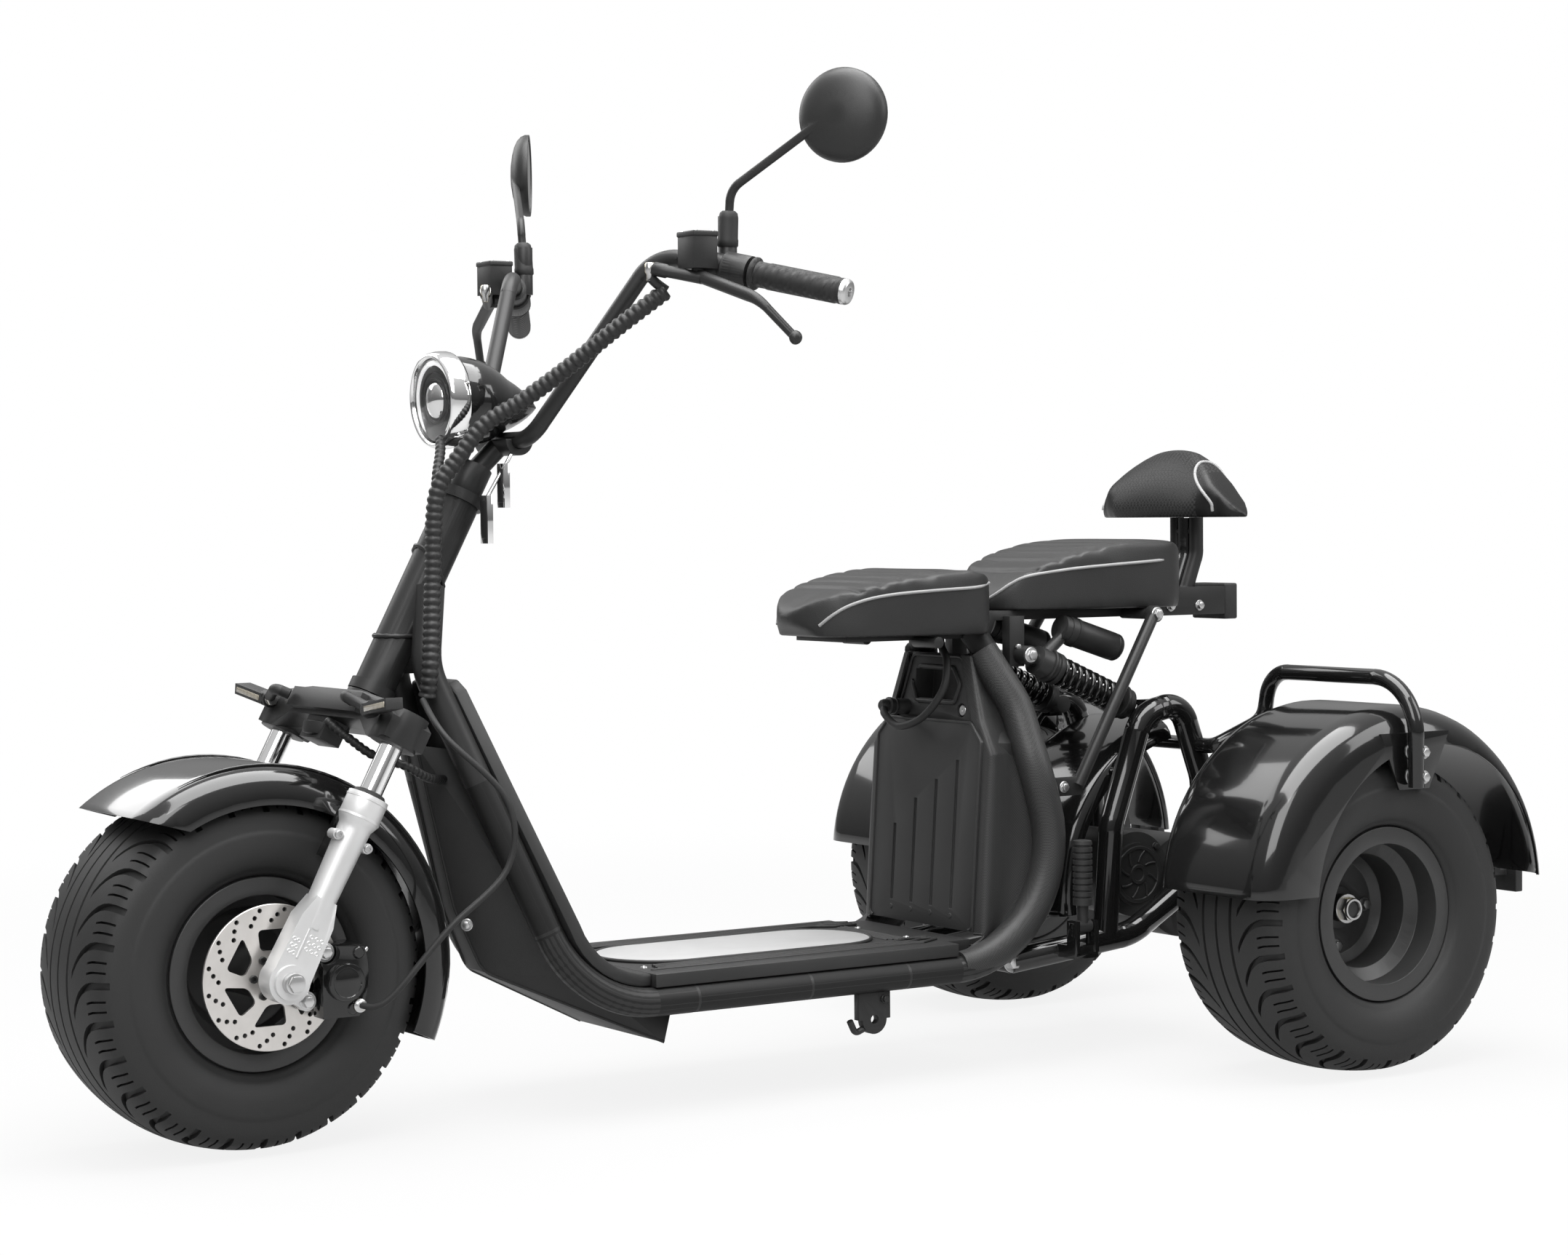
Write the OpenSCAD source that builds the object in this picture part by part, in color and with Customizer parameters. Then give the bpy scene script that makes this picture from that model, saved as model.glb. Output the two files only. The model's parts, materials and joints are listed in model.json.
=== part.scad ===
// Three-wheeled electric scooter with fat balloon tyres, two seats in line and
// a flat step-through deck. X runs forward, Y to the left, Z up; the part
// stands on Z = 0 with the middle of its outer box over the origin.
// Inside the modules lengths are taken from the rear axle line.

/* [Stance] */
// Rear axle to front axle
wheelbase = 1493; // [1460:1:1530]
// Distance between the two rear tyre centres
rear_track = 800; // [790:1:820]
// Lean of the steering axis from the vertical
rake = 28; // [26:0.5:29]
// Distance of the front axle ahead of the steering axis
fork_offset = 19; // [16:1:22]

/* [Tyres and rims] */
// Outer diameter of all tyres
tyre_d = 450; // [444:1:456]
// Width over the sidewalls
tyre_w = 225; // [215:1:226]
// Thickness of the tread band
tyre_wall = 14; // [10:1:18]
// Diameter over the rim flanges
rim_d = 240; // [234:1:244]
// Width over the rim flanges
rim_w = 188; // [182:1:190]
// Brake disc diameter
disc_d = 180; // [170:1:184]
// Brake disc thickness
disc_t = 4; // [3:0.5:5]

/* [Fork] */
// Distance between the fork leg centres
fork_span = 322; // [318:1:330]
// Bright upper tube diameter
stanchion_d = 29; // [26:1:32]
// Cast lower leg diameter
slider_d = 42; // [40:1:46]
// Front axle diameter
axle_d = 14; // [12:1:16]
// Steering stem diameter
stem_d = 30; // [26:1:32]
// Head tube diameter
head_d = 54; // [50:1:56]

/* [Frame] */
// Main tube diameter
tube_d = 38; // [34:1:40]
// Distance between the two main tubes at the deck
tube_span = 300; // [296:1:310]
// Height of the main tube centres at the deck
tube_z = 150; // [146:1:156]
// Deck moulding thickness
deck_t = 18; // [12:1:22]

/* [Battery] */
// Width of the battery panel
battery_w = 252; // [240:1:256]
// Height of the battery panel
battery_h = 404; // [396:1:408]

/* [Seats] */
// Front saddle width
saddle_w = 250; // [230:1:270]
// Rear saddle width
pillion_w = 240; // [220:1:260]
// Backrest width
backrest_w = 308; // [290:2:330]

/* [Handlebar] */
// Bar tube diameter
bar_d = 22; // [20:1:24]
// Width over the bar ends
bar_w = 840; // [820:2:860]
// Mirror head diameter
mirror_d = 118; // [108:1:126]
// Headlamp diameter
lamp_d = 124; // [118:1:130]

/* [Rear end] */
// Gap between the rear tyres and their mudguards
guard_gap = 43; // [40:1:50]
// Width of the rear mudguards
guard_w = 216; // [212:1:224]
// Grab rail tube diameter
rail_d = 22; // [18:1:24]

/* [Output] */
// Which node to draw

/* [Hidden] */
$fn = 48;

axle_z = tyre_d / 2;
tyre_hw = tyre_w / 2;
front_x = wheelbase + tyre_d / 2;
guard_x = -24;
guard_z = axle_z + 15;
guard_r = axle_z + guard_gap;
reflector_x = guard_x - guard_r - 42;
mid_x = (front_x + reflector_x) / 2;
seat_fit = 0.3;
run_fit = 0.05;
tube_y = tube_span / 2;
leg_y = fork_span / 2;
deck_z = tube_z + tube_d / 2 + seat_fit;
deck_top = deck_z + deck_t;
wheel_y = rear_track / 2;

paint = [0.05, 0.05, 0.055];
satin = [0.09, 0.09, 0.095];
plastic = [0.12, 0.12, 0.125];
rubber = [0.07, 0.07, 0.07];
steel = [0.66, 0.67, 0.68];
chrome = [0.82, 0.83, 0.85];
alloy = [0.72, 0.73, 0.74];
vinyl = [0.08, 0.08, 0.085];
clear = [0.86, 0.89, 0.92];
red = [0.55, 0.06, 0.05];
pale = [0.78, 0.78, 0.77];

// Placing helpers: the shared origin, the steering frame, the wheel axes

module placed() translate([-mid_x, 0, 0]) children();

module steer() translate([wheelbase, 0, axle_z]) rotate([0, -rake, 0]) children();

module both_sides() {
  children();
  mirror([0, 1, 0]) children();
}

module about_axle(x) translate([x, 0, axle_z]) rotate([-90, 0, 0]) children();

module side_plate(w) rotate([90, 0, 0]) translate([0, 0, -w / 2]) linear_extrude(w) children();

function steer_x(lx, s) = wheelbase + lx * cos(rake) - s * sin(rake);
function steer_z(lx, s) = axle_z + lx * sin(rake) + s * cos(rake);
function on_axis(s) = [steer_x(-fork_offset, s), 0, steer_z(-fork_offset, s)];

// Points of a quadratic curve, used for all rounded sections
function curve(a, b, c, n) = [for (i = [0:n]) let (t = i / n)
  a * (1 - t) * (1 - t) + b * 2 * t * (1 - t) + c * t * t];

function arc(c, r, a0, a1, n) = [for (i = [0:n]) let (a = a0 + (a1 - a0) * i / n)
  c + r * [cos(a), sin(a)]];

function unit(v) = v / norm(v);
function back(list) = [for (i = [len(list) - 1:-1:0]) list[i]];
function rest(list) = [for (i = [1:len(list) - 1]) list[i]];
function flip_y(list) = [for (p = list) [p[0], -p[1]]];

// A straight round bar between two points
module rod(p, q, r) {
  v = q - p;
  translate(p)
    rotate([0, acos(v[2] / norm(v)), atan2(v[1], v[0])])
      cylinder(h = norm(v), r = r);
}

// A bent tube through the points, each corner rounded to its own radius
function bend_angle(p, i) = acos(unit(p[i] - p[i - 1]) * unit(p[i + 1] - p[i]));
function bend_cut(p, i, bends) = (i == 0 || i == len(p) - 1) ? 0
  : bends[i] * tan(bend_angle(p, i) / 2);

bend_lap = 1.5;
bend_swell = 0.15;

function lap(p, i) = (i == 0 || i == len(p) - 1) ? 0 : bend_lap;

module bent_tube(p, bends, r) {
  for (i = [0:len(p) - 2]) {
    v = unit(p[i + 1] - p[i]);
    rod(p[i] + v * (bend_cut(p, i, bends) - lap(p, i)),
      p[i + 1] - v * (bend_cut(p, i + 1, bends) - lap(p, i + 1)), r);
  }
  for (i = [1:len(p) - 2]) {
    a = unit(p[i] - p[i - 1]);
    b = unit(p[i + 1] - p[i]);
    n = unit(b - a * (a * b));
    c = p[i] - a * bend_cut(p, i, bends) + n * bends[i];
    k = cross(a, n);
    multmatrix([[-n[0], a[0], k[0], c[0]], [-n[1], a[1], k[1], c[1]],
        [-n[2], a[2], k[2], c[2]], [0, 0, 0, 1]])
      rotate_extrude(angle = bend_angle(p, i)) translate([bends[i], 0]) circle(r + bend_swell);
  }
}

// A cord swept along a smooth line through the points
cord_sides = 8;
function spline(p, i, t) = let (
    a = p[max(i - 1, 0)], b = p[i], c = p[i + 1], d = p[min(i + 2, len(p) - 1)])
  0.5 * (2 * b + (c - a) * t + (2 * a - 5 * b + 4 * c - d) * t * t
    + (3 * b - a - 3 * c + d) * t * t * t);
function cord_line(p, n) = concat(
  [for (i = [0:len(p) - 2]) for (j = [0:n - 1]) spline(p, i, j / n)], [p[len(p) - 1]]);
function cord_dir(q, i) = unit(q[min(i + 1, len(q) - 1)] - q[max(i - 1, 0)]);

module cord(p, r, n) {
  q = cord_line(p, n);
  last = len(q) - 1;
  side = [0.31, 0.95, 0.05];
  rings = [for (i = [0:last]) let (
      d = cord_dir(q, i), u = unit(cross(side, d)), w = cross(d, u))
    for (k = [0:cord_sides - 1]) q[i] + r * (u * cos(360 * k / cord_sides)
      + w * sin(360 * k / cord_sides))];
  skin = [for (i = [0:last - 1]) for (k = [0:cord_sides - 1]) for (h = [0, 1])
    let (m = (k + 1) % cord_sides, a = i * cord_sides, b = (i + 1) * cord_sides)
    h == 0 ? [a + k, b + k, b + m] : [a + k, b + m, a + m]];
  first_cap = [for (k = [0:cord_sides - 1]) k];
  last_cap = [for (k = [cord_sides - 1:-1:0]) last * cord_sides + k];
  polyhedron(rings, concat(skin, [first_cap, last_cap]), convexity = 8);
}

// Main frame: head tube, two bent tubes that run round the deck and battery

head_low = 384;
head_high = 676;
neck_s = 540;
neck_y = 48;
rise_top = [wheelbase - 252, neck_y, 590];
rise_foot = [wheelbase - 420, tube_y, tube_z];
floor_bend = 150;
loop_bend = 170;
main_line = [
  on_axis(neck_s) + [-2, 24, 0],
  rise_top,
  rise_foot,
  [251, tube_y, tube_z],
  [362, tube_y, 512],
  [446, tube_y - 10, 588],
  [490, tube_y - 16.2, 590.3]];
main_bends = [0, 90, floor_bend, loop_bend, 110, 60, 0];
cross_r = 14;
cross_x = [520, wheelbase - 593];
loop_cross = [331, 400];

module head_shell() {
  translate([-fork_offset, 0, head_low])
    cylinder(h = head_high - head_low, d = head_d);
  for (s = [head_low, head_high - 14])
    translate([-fork_offset, 0, s])
      cylinder(h = 14, d = head_d + 8);
}

module main_frame() placed() color(satin) difference() {
  union() {
    steer() head_shell();
    both_sides() bent_tube(main_line, main_bends, tube_d / 2);
    side_plate(14)
      polygon([[wheelbase - 272, 712], [wheelbase - 290, 660], [wheelbase - 292, 582],
        [wheelbase - 232, 582], [wheelbase - 244, 660]]);
    for (x = cross_x) rod([x, -tube_y, tube_z], [x, tube_y, tube_z], cross_r);
    rod([loop_cross[0], -tube_y, loop_cross[1]], [loop_cross[0], tube_y, loop_cross[1]], 12);
  }
  steer() translate([-fork_offset, 0, head_low - 1])
    cylinder(h = head_high - head_low + 2, d = stem_d + 2 * run_fit);
}

// Deck and leg shield: mouldings that lie on the tubes, the shield bent up
// at the foot and tapering to the neck

deck_rear = 482;
deck_tongue = 440;
tongue_hw = tube_y - tube_d / 2 - 3;
deck_hw = tube_y + 10;
rise_dir = unit([rise_top[0] - rise_foot[0], rise_top[2] - rise_foot[2]]);
rise_angle = atan2(rise_dir[1], rise_dir[0]);
deck_front = rise_foot[0] - floor_bend * tan(rise_angle / 2);
bend_centre = [deck_front, tube_z + floor_bend];
bend_out = floor_bend - tube_d / 2 - seat_fit;
bend_in = bend_out - deck_t;

module deck_moulding() placed() color(plastic) difference() {
  union() {
    translate([deck_rear, -deck_hw, deck_z]) cube([deck_front - deck_rear, 2 * deck_hw, deck_t]);
    translate([deck_tongue, -tongue_hw, deck_z]) cube([deck_rear - deck_tongue + 1, 2 * tongue_hw, deck_t]);
    translate([deck_rear + 30, -tube_y + tube_d / 2 + 2, deck_z - 24])
      cube([deck_front - deck_rear - 96, 2 * tube_y - tube_d - 4, 26]);
    both_sides() for (i = [0:2])
      translate([deck_rear + 40, 104 + 12 * i, deck_top - 1])
        cube([deck_front - deck_rear - 50 - 30 * (2 - i), 6, 4]);
  }
  for (x = cross_x) rod([x, -tube_y, tube_z], [x, tube_y, tube_z], cross_r + seat_fit);
}

plate_len = 0.86 * (deck_front - deck_rear);
plate_w = 180;
plate_t = 3;

module deck_plate() placed() color(pale)
  translate([(deck_rear + deck_front) / 2 + 22, 0, deck_top]) linear_extrude(plate_t) {
    square([plate_len - plate_w, plate_w], center = true);
    for (e = [-1, 1]) translate([e * (plate_len - plate_w) / 2, 0]) circle(d = plate_w);
  }

shield_len = 338;
shield_foot = bend_centre + bend_out * [cos(rise_angle - 90), sin(rise_angle - 90)];
shield_hw = 150;
shield_top_hw = 66;

module on_shield() translate([shield_foot[0], 0, shield_foot[1]])
  rotate([0, 90 - rise_angle, 0]) rotate([90, 0, -90]) children();

module leg_shield() placed() color(plastic) union() {
  side_plate(2 * shield_hw)
    polygon(concat(arc(bend_centre, bend_out, -90 + 0.15, rise_angle - 90, 8),
      arc(bend_centre, bend_in, rise_angle - 90, -90 + 0.15, 8)));
  on_shield() linear_extrude(deck_t)
    polygon([[-shield_hw, 0], [shield_hw, 0], [shield_top_hw, shield_len - 14],
      [shield_top_hw - 16, shield_len], [16 - shield_top_hw, shield_len],
      [-shield_top_hw, shield_len - 14]]);
}

// Belly pan: the closed prow ahead of the shield that holds the controller.
// Columns: x, z and half width of the front edge, then of the rear edge

function pan_back(z) = shield_foot[0] + (z - shield_foot[1]) / tan(rise_angle) + 2 * seat_fit;

pan_rows = [[wheelbase - 254, 490, 15, pan_back(480), 480, 44],
  [wheelbase - 304, 276, 18, pan_back(232), 232, 92],
  [wheelbase - 342, 191, 22, wheelbase - 448, 180, 100],
  [wheelbase - 563, 88, 112, wheelbase - 577, 142, 112]];

module pan_edge(row) for (e = [-1, 1], k = [0, 3])
  translate([row[k], e * row[k + 2], row[k + 1]]) cube(0.2, center = true);

module belly_pan() placed() color(plastic) union() {
  for (i = [0:2]) hull() {
    pan_edge(pan_rows[i]);
    pan_edge(pan_rows[i + 1]);
  }
}

// Battery: a lift-out pack with grooved front, hand grip and lock, in a
// housing that closes the loop of the main tubes

battery_x = 435;
battery_z = deck_top + seat_fit;
battery_depth = 70;
battery_lean = 4;
groove_w = 7;
groove_heights = [110, 150, 180, 210];
head_base = 300;
chamfer = 26;

module battery_front() {
  half = battery_w / 2;
  polygon([[-half, 8], [half, 8], [half, head_base - chamfer], [half - chamfer, head_base],
    [chamfer - half, head_base], [-half, head_base - chamfer]]);
}

module battery_head() polygon([[-96, head_base - 4], [96, head_base - 4], [62, battery_h - 8],
  [-62, battery_h - 8]]);

module battery_pack() placed() color(plastic)
  translate([battery_x, 0, battery_z]) rotate([0, -battery_lean, 0]) difference() {
    union() {
      rotate([90, 0, 90]) translate([0, 0, -battery_depth]) linear_extrude(battery_depth)
        battery_front();
      rotate([90, 0, 90]) translate([0, 0, 14 - battery_depth]) linear_extrude(battery_depth - 24)
        battery_head();
      translate([-14, -70, head_base + 16]) rotate([0, 90, 0]) cylinder(h = 28, r = 11);
    }
    for (i = [0:3])
      translate([-3, -72 + i * 48 - groove_w / 2, 36])
        cube([10, groove_w, groove_heights[i]]);
    translate([-42, -52, head_base + 30]) cube([60, 104, 42]);
    translate([-24, 62, head_base + 16]) rotate([0, 90, 0]) cylinder(h = 30, r = 10);
  }

surround_t = 4;
surround_back = 340;

module battery_surround() placed() color(plastic) difference() {
  union() {
    both_sides() translate([0, battery_w / 2 + 0.6 + surround_t / 2, 0]) side_plate(surround_t)
      polygon([[444, deck_top + seat_fit], [424, 472], [416, 482], [352, 482], [338, 440],
        [330, 360], [344, 270], [392, deck_top + seat_fit]]);
    translate([surround_back, -battery_w / 2 - 1, deck_top + 60]) cube([4, battery_w + 2, 200]);
  }
  rod([loop_cross[0], -tube_y, loop_cross[1]], [loop_cross[0], tube_y, loop_cross[1]], 12 + seat_fit);
}

module battery_lead() placed() color(rubber)
  cord([[427.3, -70, 503.8], [440, -69, 504], [453, -56, 494], [453, -20, 478], [446, 30, 494],
    [434, 62, 534], [422, 54, 572], [414, 32, 590], [412, 26, 601.4]], 5.5, 6);

// Seats: two saddles in line on one pressed frame, with a padded backrest

seat_low = 612;
pillion_low = 642;
saddle_side = concat(curve([372, seat_low], [366, 700], [440, 706], 6),
  curve([440, 706], [560, 696], [640, 668], 6),
  curve([640, 668], [676, 652], [666, 628], 4), [[640, seat_low]]);
pillion_side = concat(curve([28, pillion_low], [22, 738], [96, 744], 6),
  curve([96, 744], [200, 744], [290, 712], 6),
  curve([290, 712], [352, 690], [362, pillion_low], 5));

function both_halves(list) = concat(list, flip_y(back(list)));

module front_seat() placed() color(vinyl) intersection() {
  side_plate(saddle_w) polygon(saddle_side);
  linear_extrude(900) polygon(both_halves(concat(
    curve([366, 2], [368, saddle_w / 2], [440, saddle_w / 2], 6),
    curve([440, saddle_w / 2], [560, saddle_w / 2 - 6], [610, 84], 6),
    curve([610, 84], [652, 56], [672, 2], 6))));
}

module rear_seat() placed() color(vinyl) intersection() {
  side_plate(pillion_w) polygon(pillion_side);
  linear_extrude(900) polygon(both_halves(concat(
    curve([22, 2], [24, pillion_w / 2], [110, pillion_w / 2], 6),
    curve([110, pillion_w / 2], [270, pillion_w / 2], [330, 76], 6),
    curve([330, 76], [364, 50], [364, 2], 4))));
}

frame_hw = 62;
tail_x = -110;
tail_y = 38;
tail_t = 26;

module seat_frame() placed() color(satin) union() {
  side_plate(2 * frame_hw)
    polygon([[600, 604], [600, seat_low - seat_fit], [366, seat_low - seat_fit],
      [354, pillion_low - seat_fit], [34, pillion_low - seat_fit], [34, 628], [342, 628], [352, 604]]);
  both_sides() rod([104, frame_hw - 4, 633], [104, 120.6, 633], 8);
  both_sides() translate([302, frame_hw - 2, 562]) cube([26, shock_y - eye_hw - frame_hw + 1.7, 72]);
  both_sides() rod([480, frame_hw - 2, 602], [480, 115.4, 602], 8);
  both_sides() translate([tail_x, tail_y - 5, 626]) cube([58 - tail_x, 5, 15.7]);
  both_sides() translate([tail_x, tail_y - 5, 626]) cube([8 - tail_x, 5, 42]);
}

backrest_x = -34;
backrest_low = 772;
backrest_top = 870;
backrest_h = backrest_top - backrest_low;
backrest_end = backrest_x - 34;

module backrest_pad() placed() color(vinyl) intersection() {
  half = backrest_w / 2;
  translate([backrest_x - 60, 0, backrest_low]) rotate([90, 0, 90]) linear_extrude(120)
    polygon(concat(curve([-half, 0], [44 - half, backrest_h], [0, backrest_h], 10),
      curve([0, backrest_h], [half - 44, backrest_h], [half, 0], 10)));
  side_plate(backrest_w)
    polygon(concat([[backrest_x - 44, backrest_low]],
      curve([backrest_x - 50, 800], [backrest_x - 44, backrest_top], [backrest_x - 22, backrest_top], 5),
      curve([backrest_x - 22, backrest_top], [backrest_x + 14, 850], [backrest_x + 20, backrest_low], 6)));
  linear_extrude(1000) polygon(concat(
    curve([backrest_end, -half], [backrest_x + 26, 20 - half], [backrest_x + 26, 0], 8),
    curve([backrest_x + 26, 0], [backrest_x + 26, half - 20], [backrest_end, half], 8),
    curve([backrest_end, half], [backrest_x - 54, half - 10], [backrest_x - 54, half - 70], 4),
    curve([backrest_x - 54, 70 - half], [backrest_x - 54, 10 - half], [backrest_end, -half], 4)));
}

post_y = 22;
post_r = 10.5;
post_x = -68;

module backrest_post() placed() color(satin) union() {
  both_sides() bent_tube([[-6, post_y, 650], [-44, post_y, 654], [post_x, post_y, 716],
      [post_x, post_y, backrest_low - seat_fit]], [0, 24, 40, 0], post_r);
  rod([post_x, -post_y, 752], [post_x, post_y, 752], 8);
}

module tail_lamp() placed() color(red) union() {
  translate([tail_x - tail_t, -tail_y, 618]) cube([tail_t - seat_fit, 2 * tail_y, 54]);
}

module seat_struts() placed() color(satin) both_sides() difference() {
  union() {
    rod([104, 130, 636], [262, 148, 393], 9);
    translate([104, 121, 633]) rotate([-90, 0, 0]) cylinder(h = 14, r = 12);
    translate([254, 140, 380]) cube([60, 9, 26]);
  }
  rod([318.3, tube_y, 369.6], [353, tube_y, 482.7], tube_d / 2 + seat_fit);
}

// Rear suspension: two sprung struts with side reservoirs

shock_y = 90;
shock_top = [309, shock_y, 579];
shock_low = [108, shock_y, 493];
shock_dir = unit(shock_top - shock_low);
shock_len = norm(shock_top - shock_low);
eye_r = 13;
eye_hw = 12;
spring_r = 19;
spring_wire = 3.6;
spring_turns = 9;
spring_steps = 10;
spring_from = 40;
spring_to = shock_len - 62;
can_y = 86;

module along_shock() translate(shock_low)
  rotate([0, acos(shock_dir[2]), atan2(shock_dir[1], shock_dir[0])]) children();

module shock_eye() rotate([90, 0, 0]) translate([0, 0, -eye_hw]) cylinder(h = 2 * eye_hw, r = eye_r);

module shock_absorbers() placed() color(satin) both_sides() {
  along_shock() {
    shock_eye();
    cylinder(h = shock_len, r = 10);
    translate([0, 0, 20]) cylinder(h = spring_from - spring_wire - 20, r = 23);
    translate([0, 0, spring_to + spring_wire]) cylinder(h = 8, r = 24);
    translate([0, 0, spring_to + spring_wire]) cylinder(h = 40, r = 21);
    translate([0, 0, shock_len]) shock_eye();
  }
  rod([142, can_y, 584], [244, can_y, 616], 19);
  rod([150, can_y, 586.5], [234, can_y, 612.9], 20.5);
  rod([232, can_y, 610], [shock_top[0] - 26, shock_y, 572], 9);
}

module shock_springs() placed() color(paint) both_sides() along_shock()
  cord([for (i = [0:spring_turns * spring_steps]) let (a = i * 360 / spring_steps)
    [spring_r * cos(a), spring_r * sin(a),
      spring_from + (spring_to - spring_from) * i / (spring_turns * spring_steps)]],
    spring_wire, 1);

// Swing frame: hoops that carry the axle, hinged on the main tubes

hoop_y = 128;
hoop_r = 18;
housing_r = 32;
hoop_line = [[372, hoop_y, 150], [150, hoop_y, 172], [14, hoop_y, 250], [14, hoop_y, 390],
  [56, hoop_y, 503], [128, hoop_y, 488], [186, hoop_y, 330], [198, hoop_y, 168]];
hoop_bends = [0, 100, 60, 60, 36, 50, 80, 0];
peg_pos = [275, 174, 197];
pin_r = 4;

module swing_frame() placed() color(paint) difference() {
  union() {
    both_sides() bent_tube(hoop_line, hoop_bends, hoop_r);
    both_sides() translate([92, shock_y + eye_hw + seat_fit, 474]) cube([24, 20, 34]);
    rod([372, -hoop_y - 8, 150], [372, hoop_y + 8, 150], 16);
    rod([20, -hoop_y, 440], [20, hoop_y, 440], 10);
    both_sides() {
      translate([peg_pos[0] - 21, hoop_y, 152]) cube([42, peg_pos[1] - hoop_y + 8, 18]);
      for (x = [-21, 13]) translate([peg_pos[0] + x, peg_pos[1] - 10, 160]) cube([8, 20, peg_pos[2] - 152]);
    }
  }
  about_axle(0) translate([0, 0, -300]) cylinder(h = 600, r = housing_r + seat_fit);
  both_sides() rod(peg_pos - [30, 0, 0], peg_pos + [30, 0, 0], pin_r + run_fit);
}

guard_arc = 254;
guard_arc_hw = 96;

module mid_section() {
  top = guard_arc + 4;
  foot = guard_arc - 26;
  edge = guard_arc_hw + 4;
  polygon(concat(
    curve([foot, -edge], [top, -edge], [top, 38 - edge], 5),
    curve([top, edge - 38], [top, edge], [foot, edge], 5),
    curve([foot, guard_arc_hw], [guard_arc, guard_arc_hw], [guard_arc, guard_arc_hw - 34], 5),
    curve([guard_arc, 34 - guard_arc_hw], [guard_arc, -guard_arc_hw], [foot, -guard_arc_hw], 5)));
}

module rear_mudguard() placed() color(paint) union() {
  translate([0, 0, axle_z]) rotate([90, 0, 0]) rotate([0, 0, -6])
    rotate_extrude(angle = 84, $fn = 96) mid_section();
  both_sides() rod([158.5, guard_arc_hw + 1, 405], [158.5, hoop_y - hoop_r - seat_fit, 405], 6);
}

// Drive axle: motor and gear case as one block with the axle tubes

shaft_r = 15;
housing_end = wheel_y - 46;
motor_x = 112;
motor_z = 252;
motor_r = 62;

module drive_axle() placed() color(satin) difference() {
  union() {
    translate([motor_x, -86, motor_z]) rotate([-90, 0, 0]) cylinder(h = 178, r = motor_r);
    translate([motor_x, 90, motor_z]) rotate([-90, 0, 0]) cylinder(h = 9, r = motor_r - 16);
    about_axle(0) translate([0, 0, -70]) cylinder(h = 140, r = 76);
    about_axle(0) translate([0, 0, -housing_end]) cylinder(h = 2 * housing_end, r = housing_r);
  }
  for (e = [-1, 1]) about_axle(0) translate([0, 0, e > 0 ? housing_end - 120 : -housing_end - 1])
    cylinder(h = 121, r = shaft_r + run_fit);
}

// Rear mudguards, the rails over them and their reflectors

guard_t = 4;
guard_y = wheel_y + 12;
guard_low = 262;
guard_open = [-62, 245];
guard_open_r = 213;

module guard_section() {
  half = guard_w / 2;
  polygon(concat(
    curve([guard_r - 14, -half - guard_t], [guard_r + guard_t, -half - guard_t],
      [guard_r + guard_t, -half + 26], 5),
    curve([guard_r + guard_t, half - 46], [guard_r + guard_t, half + guard_t],
      [guard_r - 46, half + guard_t], 7),
    [[150, half + guard_t], [150, half]],
    curve([guard_r - 46, half], [guard_r, half], [guard_r, half - 46], 7),
    curve([guard_r, -half + 26], [guard_r, -half], [guard_r - 14, -half], 5)));
}

module guard_at() translate([guard_x, 0, guard_z]) rotate([90, 0, 0]) mirror([0, 0, 1]) children();

module rear_fenders() placed() color(paint) both_sides() union() {
  difference() {
    guard_at() translate([0, 0, guard_y]) rotate_extrude(angle = 180, $fn = 96) guard_section();
    translate([-500, 0, 0]) cube([1000, 900, guard_low]);
    translate([guard_open[0], guard_y + 40, guard_open[1]]) rotate([-90, 0, 0])
      cylinder(h = 100, r = guard_open_r, $fn = 96);
  }
  translate([0, guard_y + guard_w / 2 + guard_t / 2, 0]) side_plate(guard_t)
    polygon([[36, 476], [-92, 476], [-84, 458], [-54, 398], [2, 398], [28, 458]]);
}

rail_top = guard_z + guard_r + 42;
rail_out = wheel_y + 140;
rail_x = -14;

module grab_rails() placed() color(paint) both_sides() union() {
  bent_tube([[32.6, hoop_y + hoop_r + seat_fit, 440], [32.6, 176, 440], [rail_x, 232, 480],
    [rail_x, 246, rail_top], [rail_x, rail_out, rail_top], [rail_x, rail_out, 402]],
    [0, 30, 34, 45, 80, 0], rail_d / 2);
  for (z = [416, 450])
    rod([rail_x - 8, guard_y + guard_w / 2 + guard_t + seat_fit, z], [rail_x - 8, rail_out, z], 7);
}

module rear_reflectors() placed() color(red) both_sides() union() {
  translate([reflector_x, wheel_y - 30, 226]) cube([14, 60, 40]);
  translate([reflector_x + 8, wheel_y - 12, 250]) cube([26, 24, 8]);
  translate([reflector_x + 26, wheel_y - 12, 250]) cube([12.5, 24, 30]);
}

module stand_bracket() placed() color(satin) difference() {
  union() {
    translate([596, tube_y - 6, tube_z - tube_d / 2 - 36]) cube([52, 12, 40]);
    translate([622, tube_y - 6, tube_z - tube_d / 2 - 36]) rotate([-90, 0, 0]) cylinder(h = 12, r = 20);
  }
  rod([590, tube_y, tube_z], [660, tube_y, tube_z], tube_d / 2);
  translate([622, tube_y - 8, tube_z - tube_d / 2 - 36]) rotate([-90, 0, 0]) cylinder(h = 16, r = 6);
}

// Steering: stem, yoke, fork legs and axle

yoke_low = 318;
yoke_high = 372;
clamp_s = 765;
clamp_x = -40;
clamp_r = 20;
clamp_hw = 44;
stem_top = 716;

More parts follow.
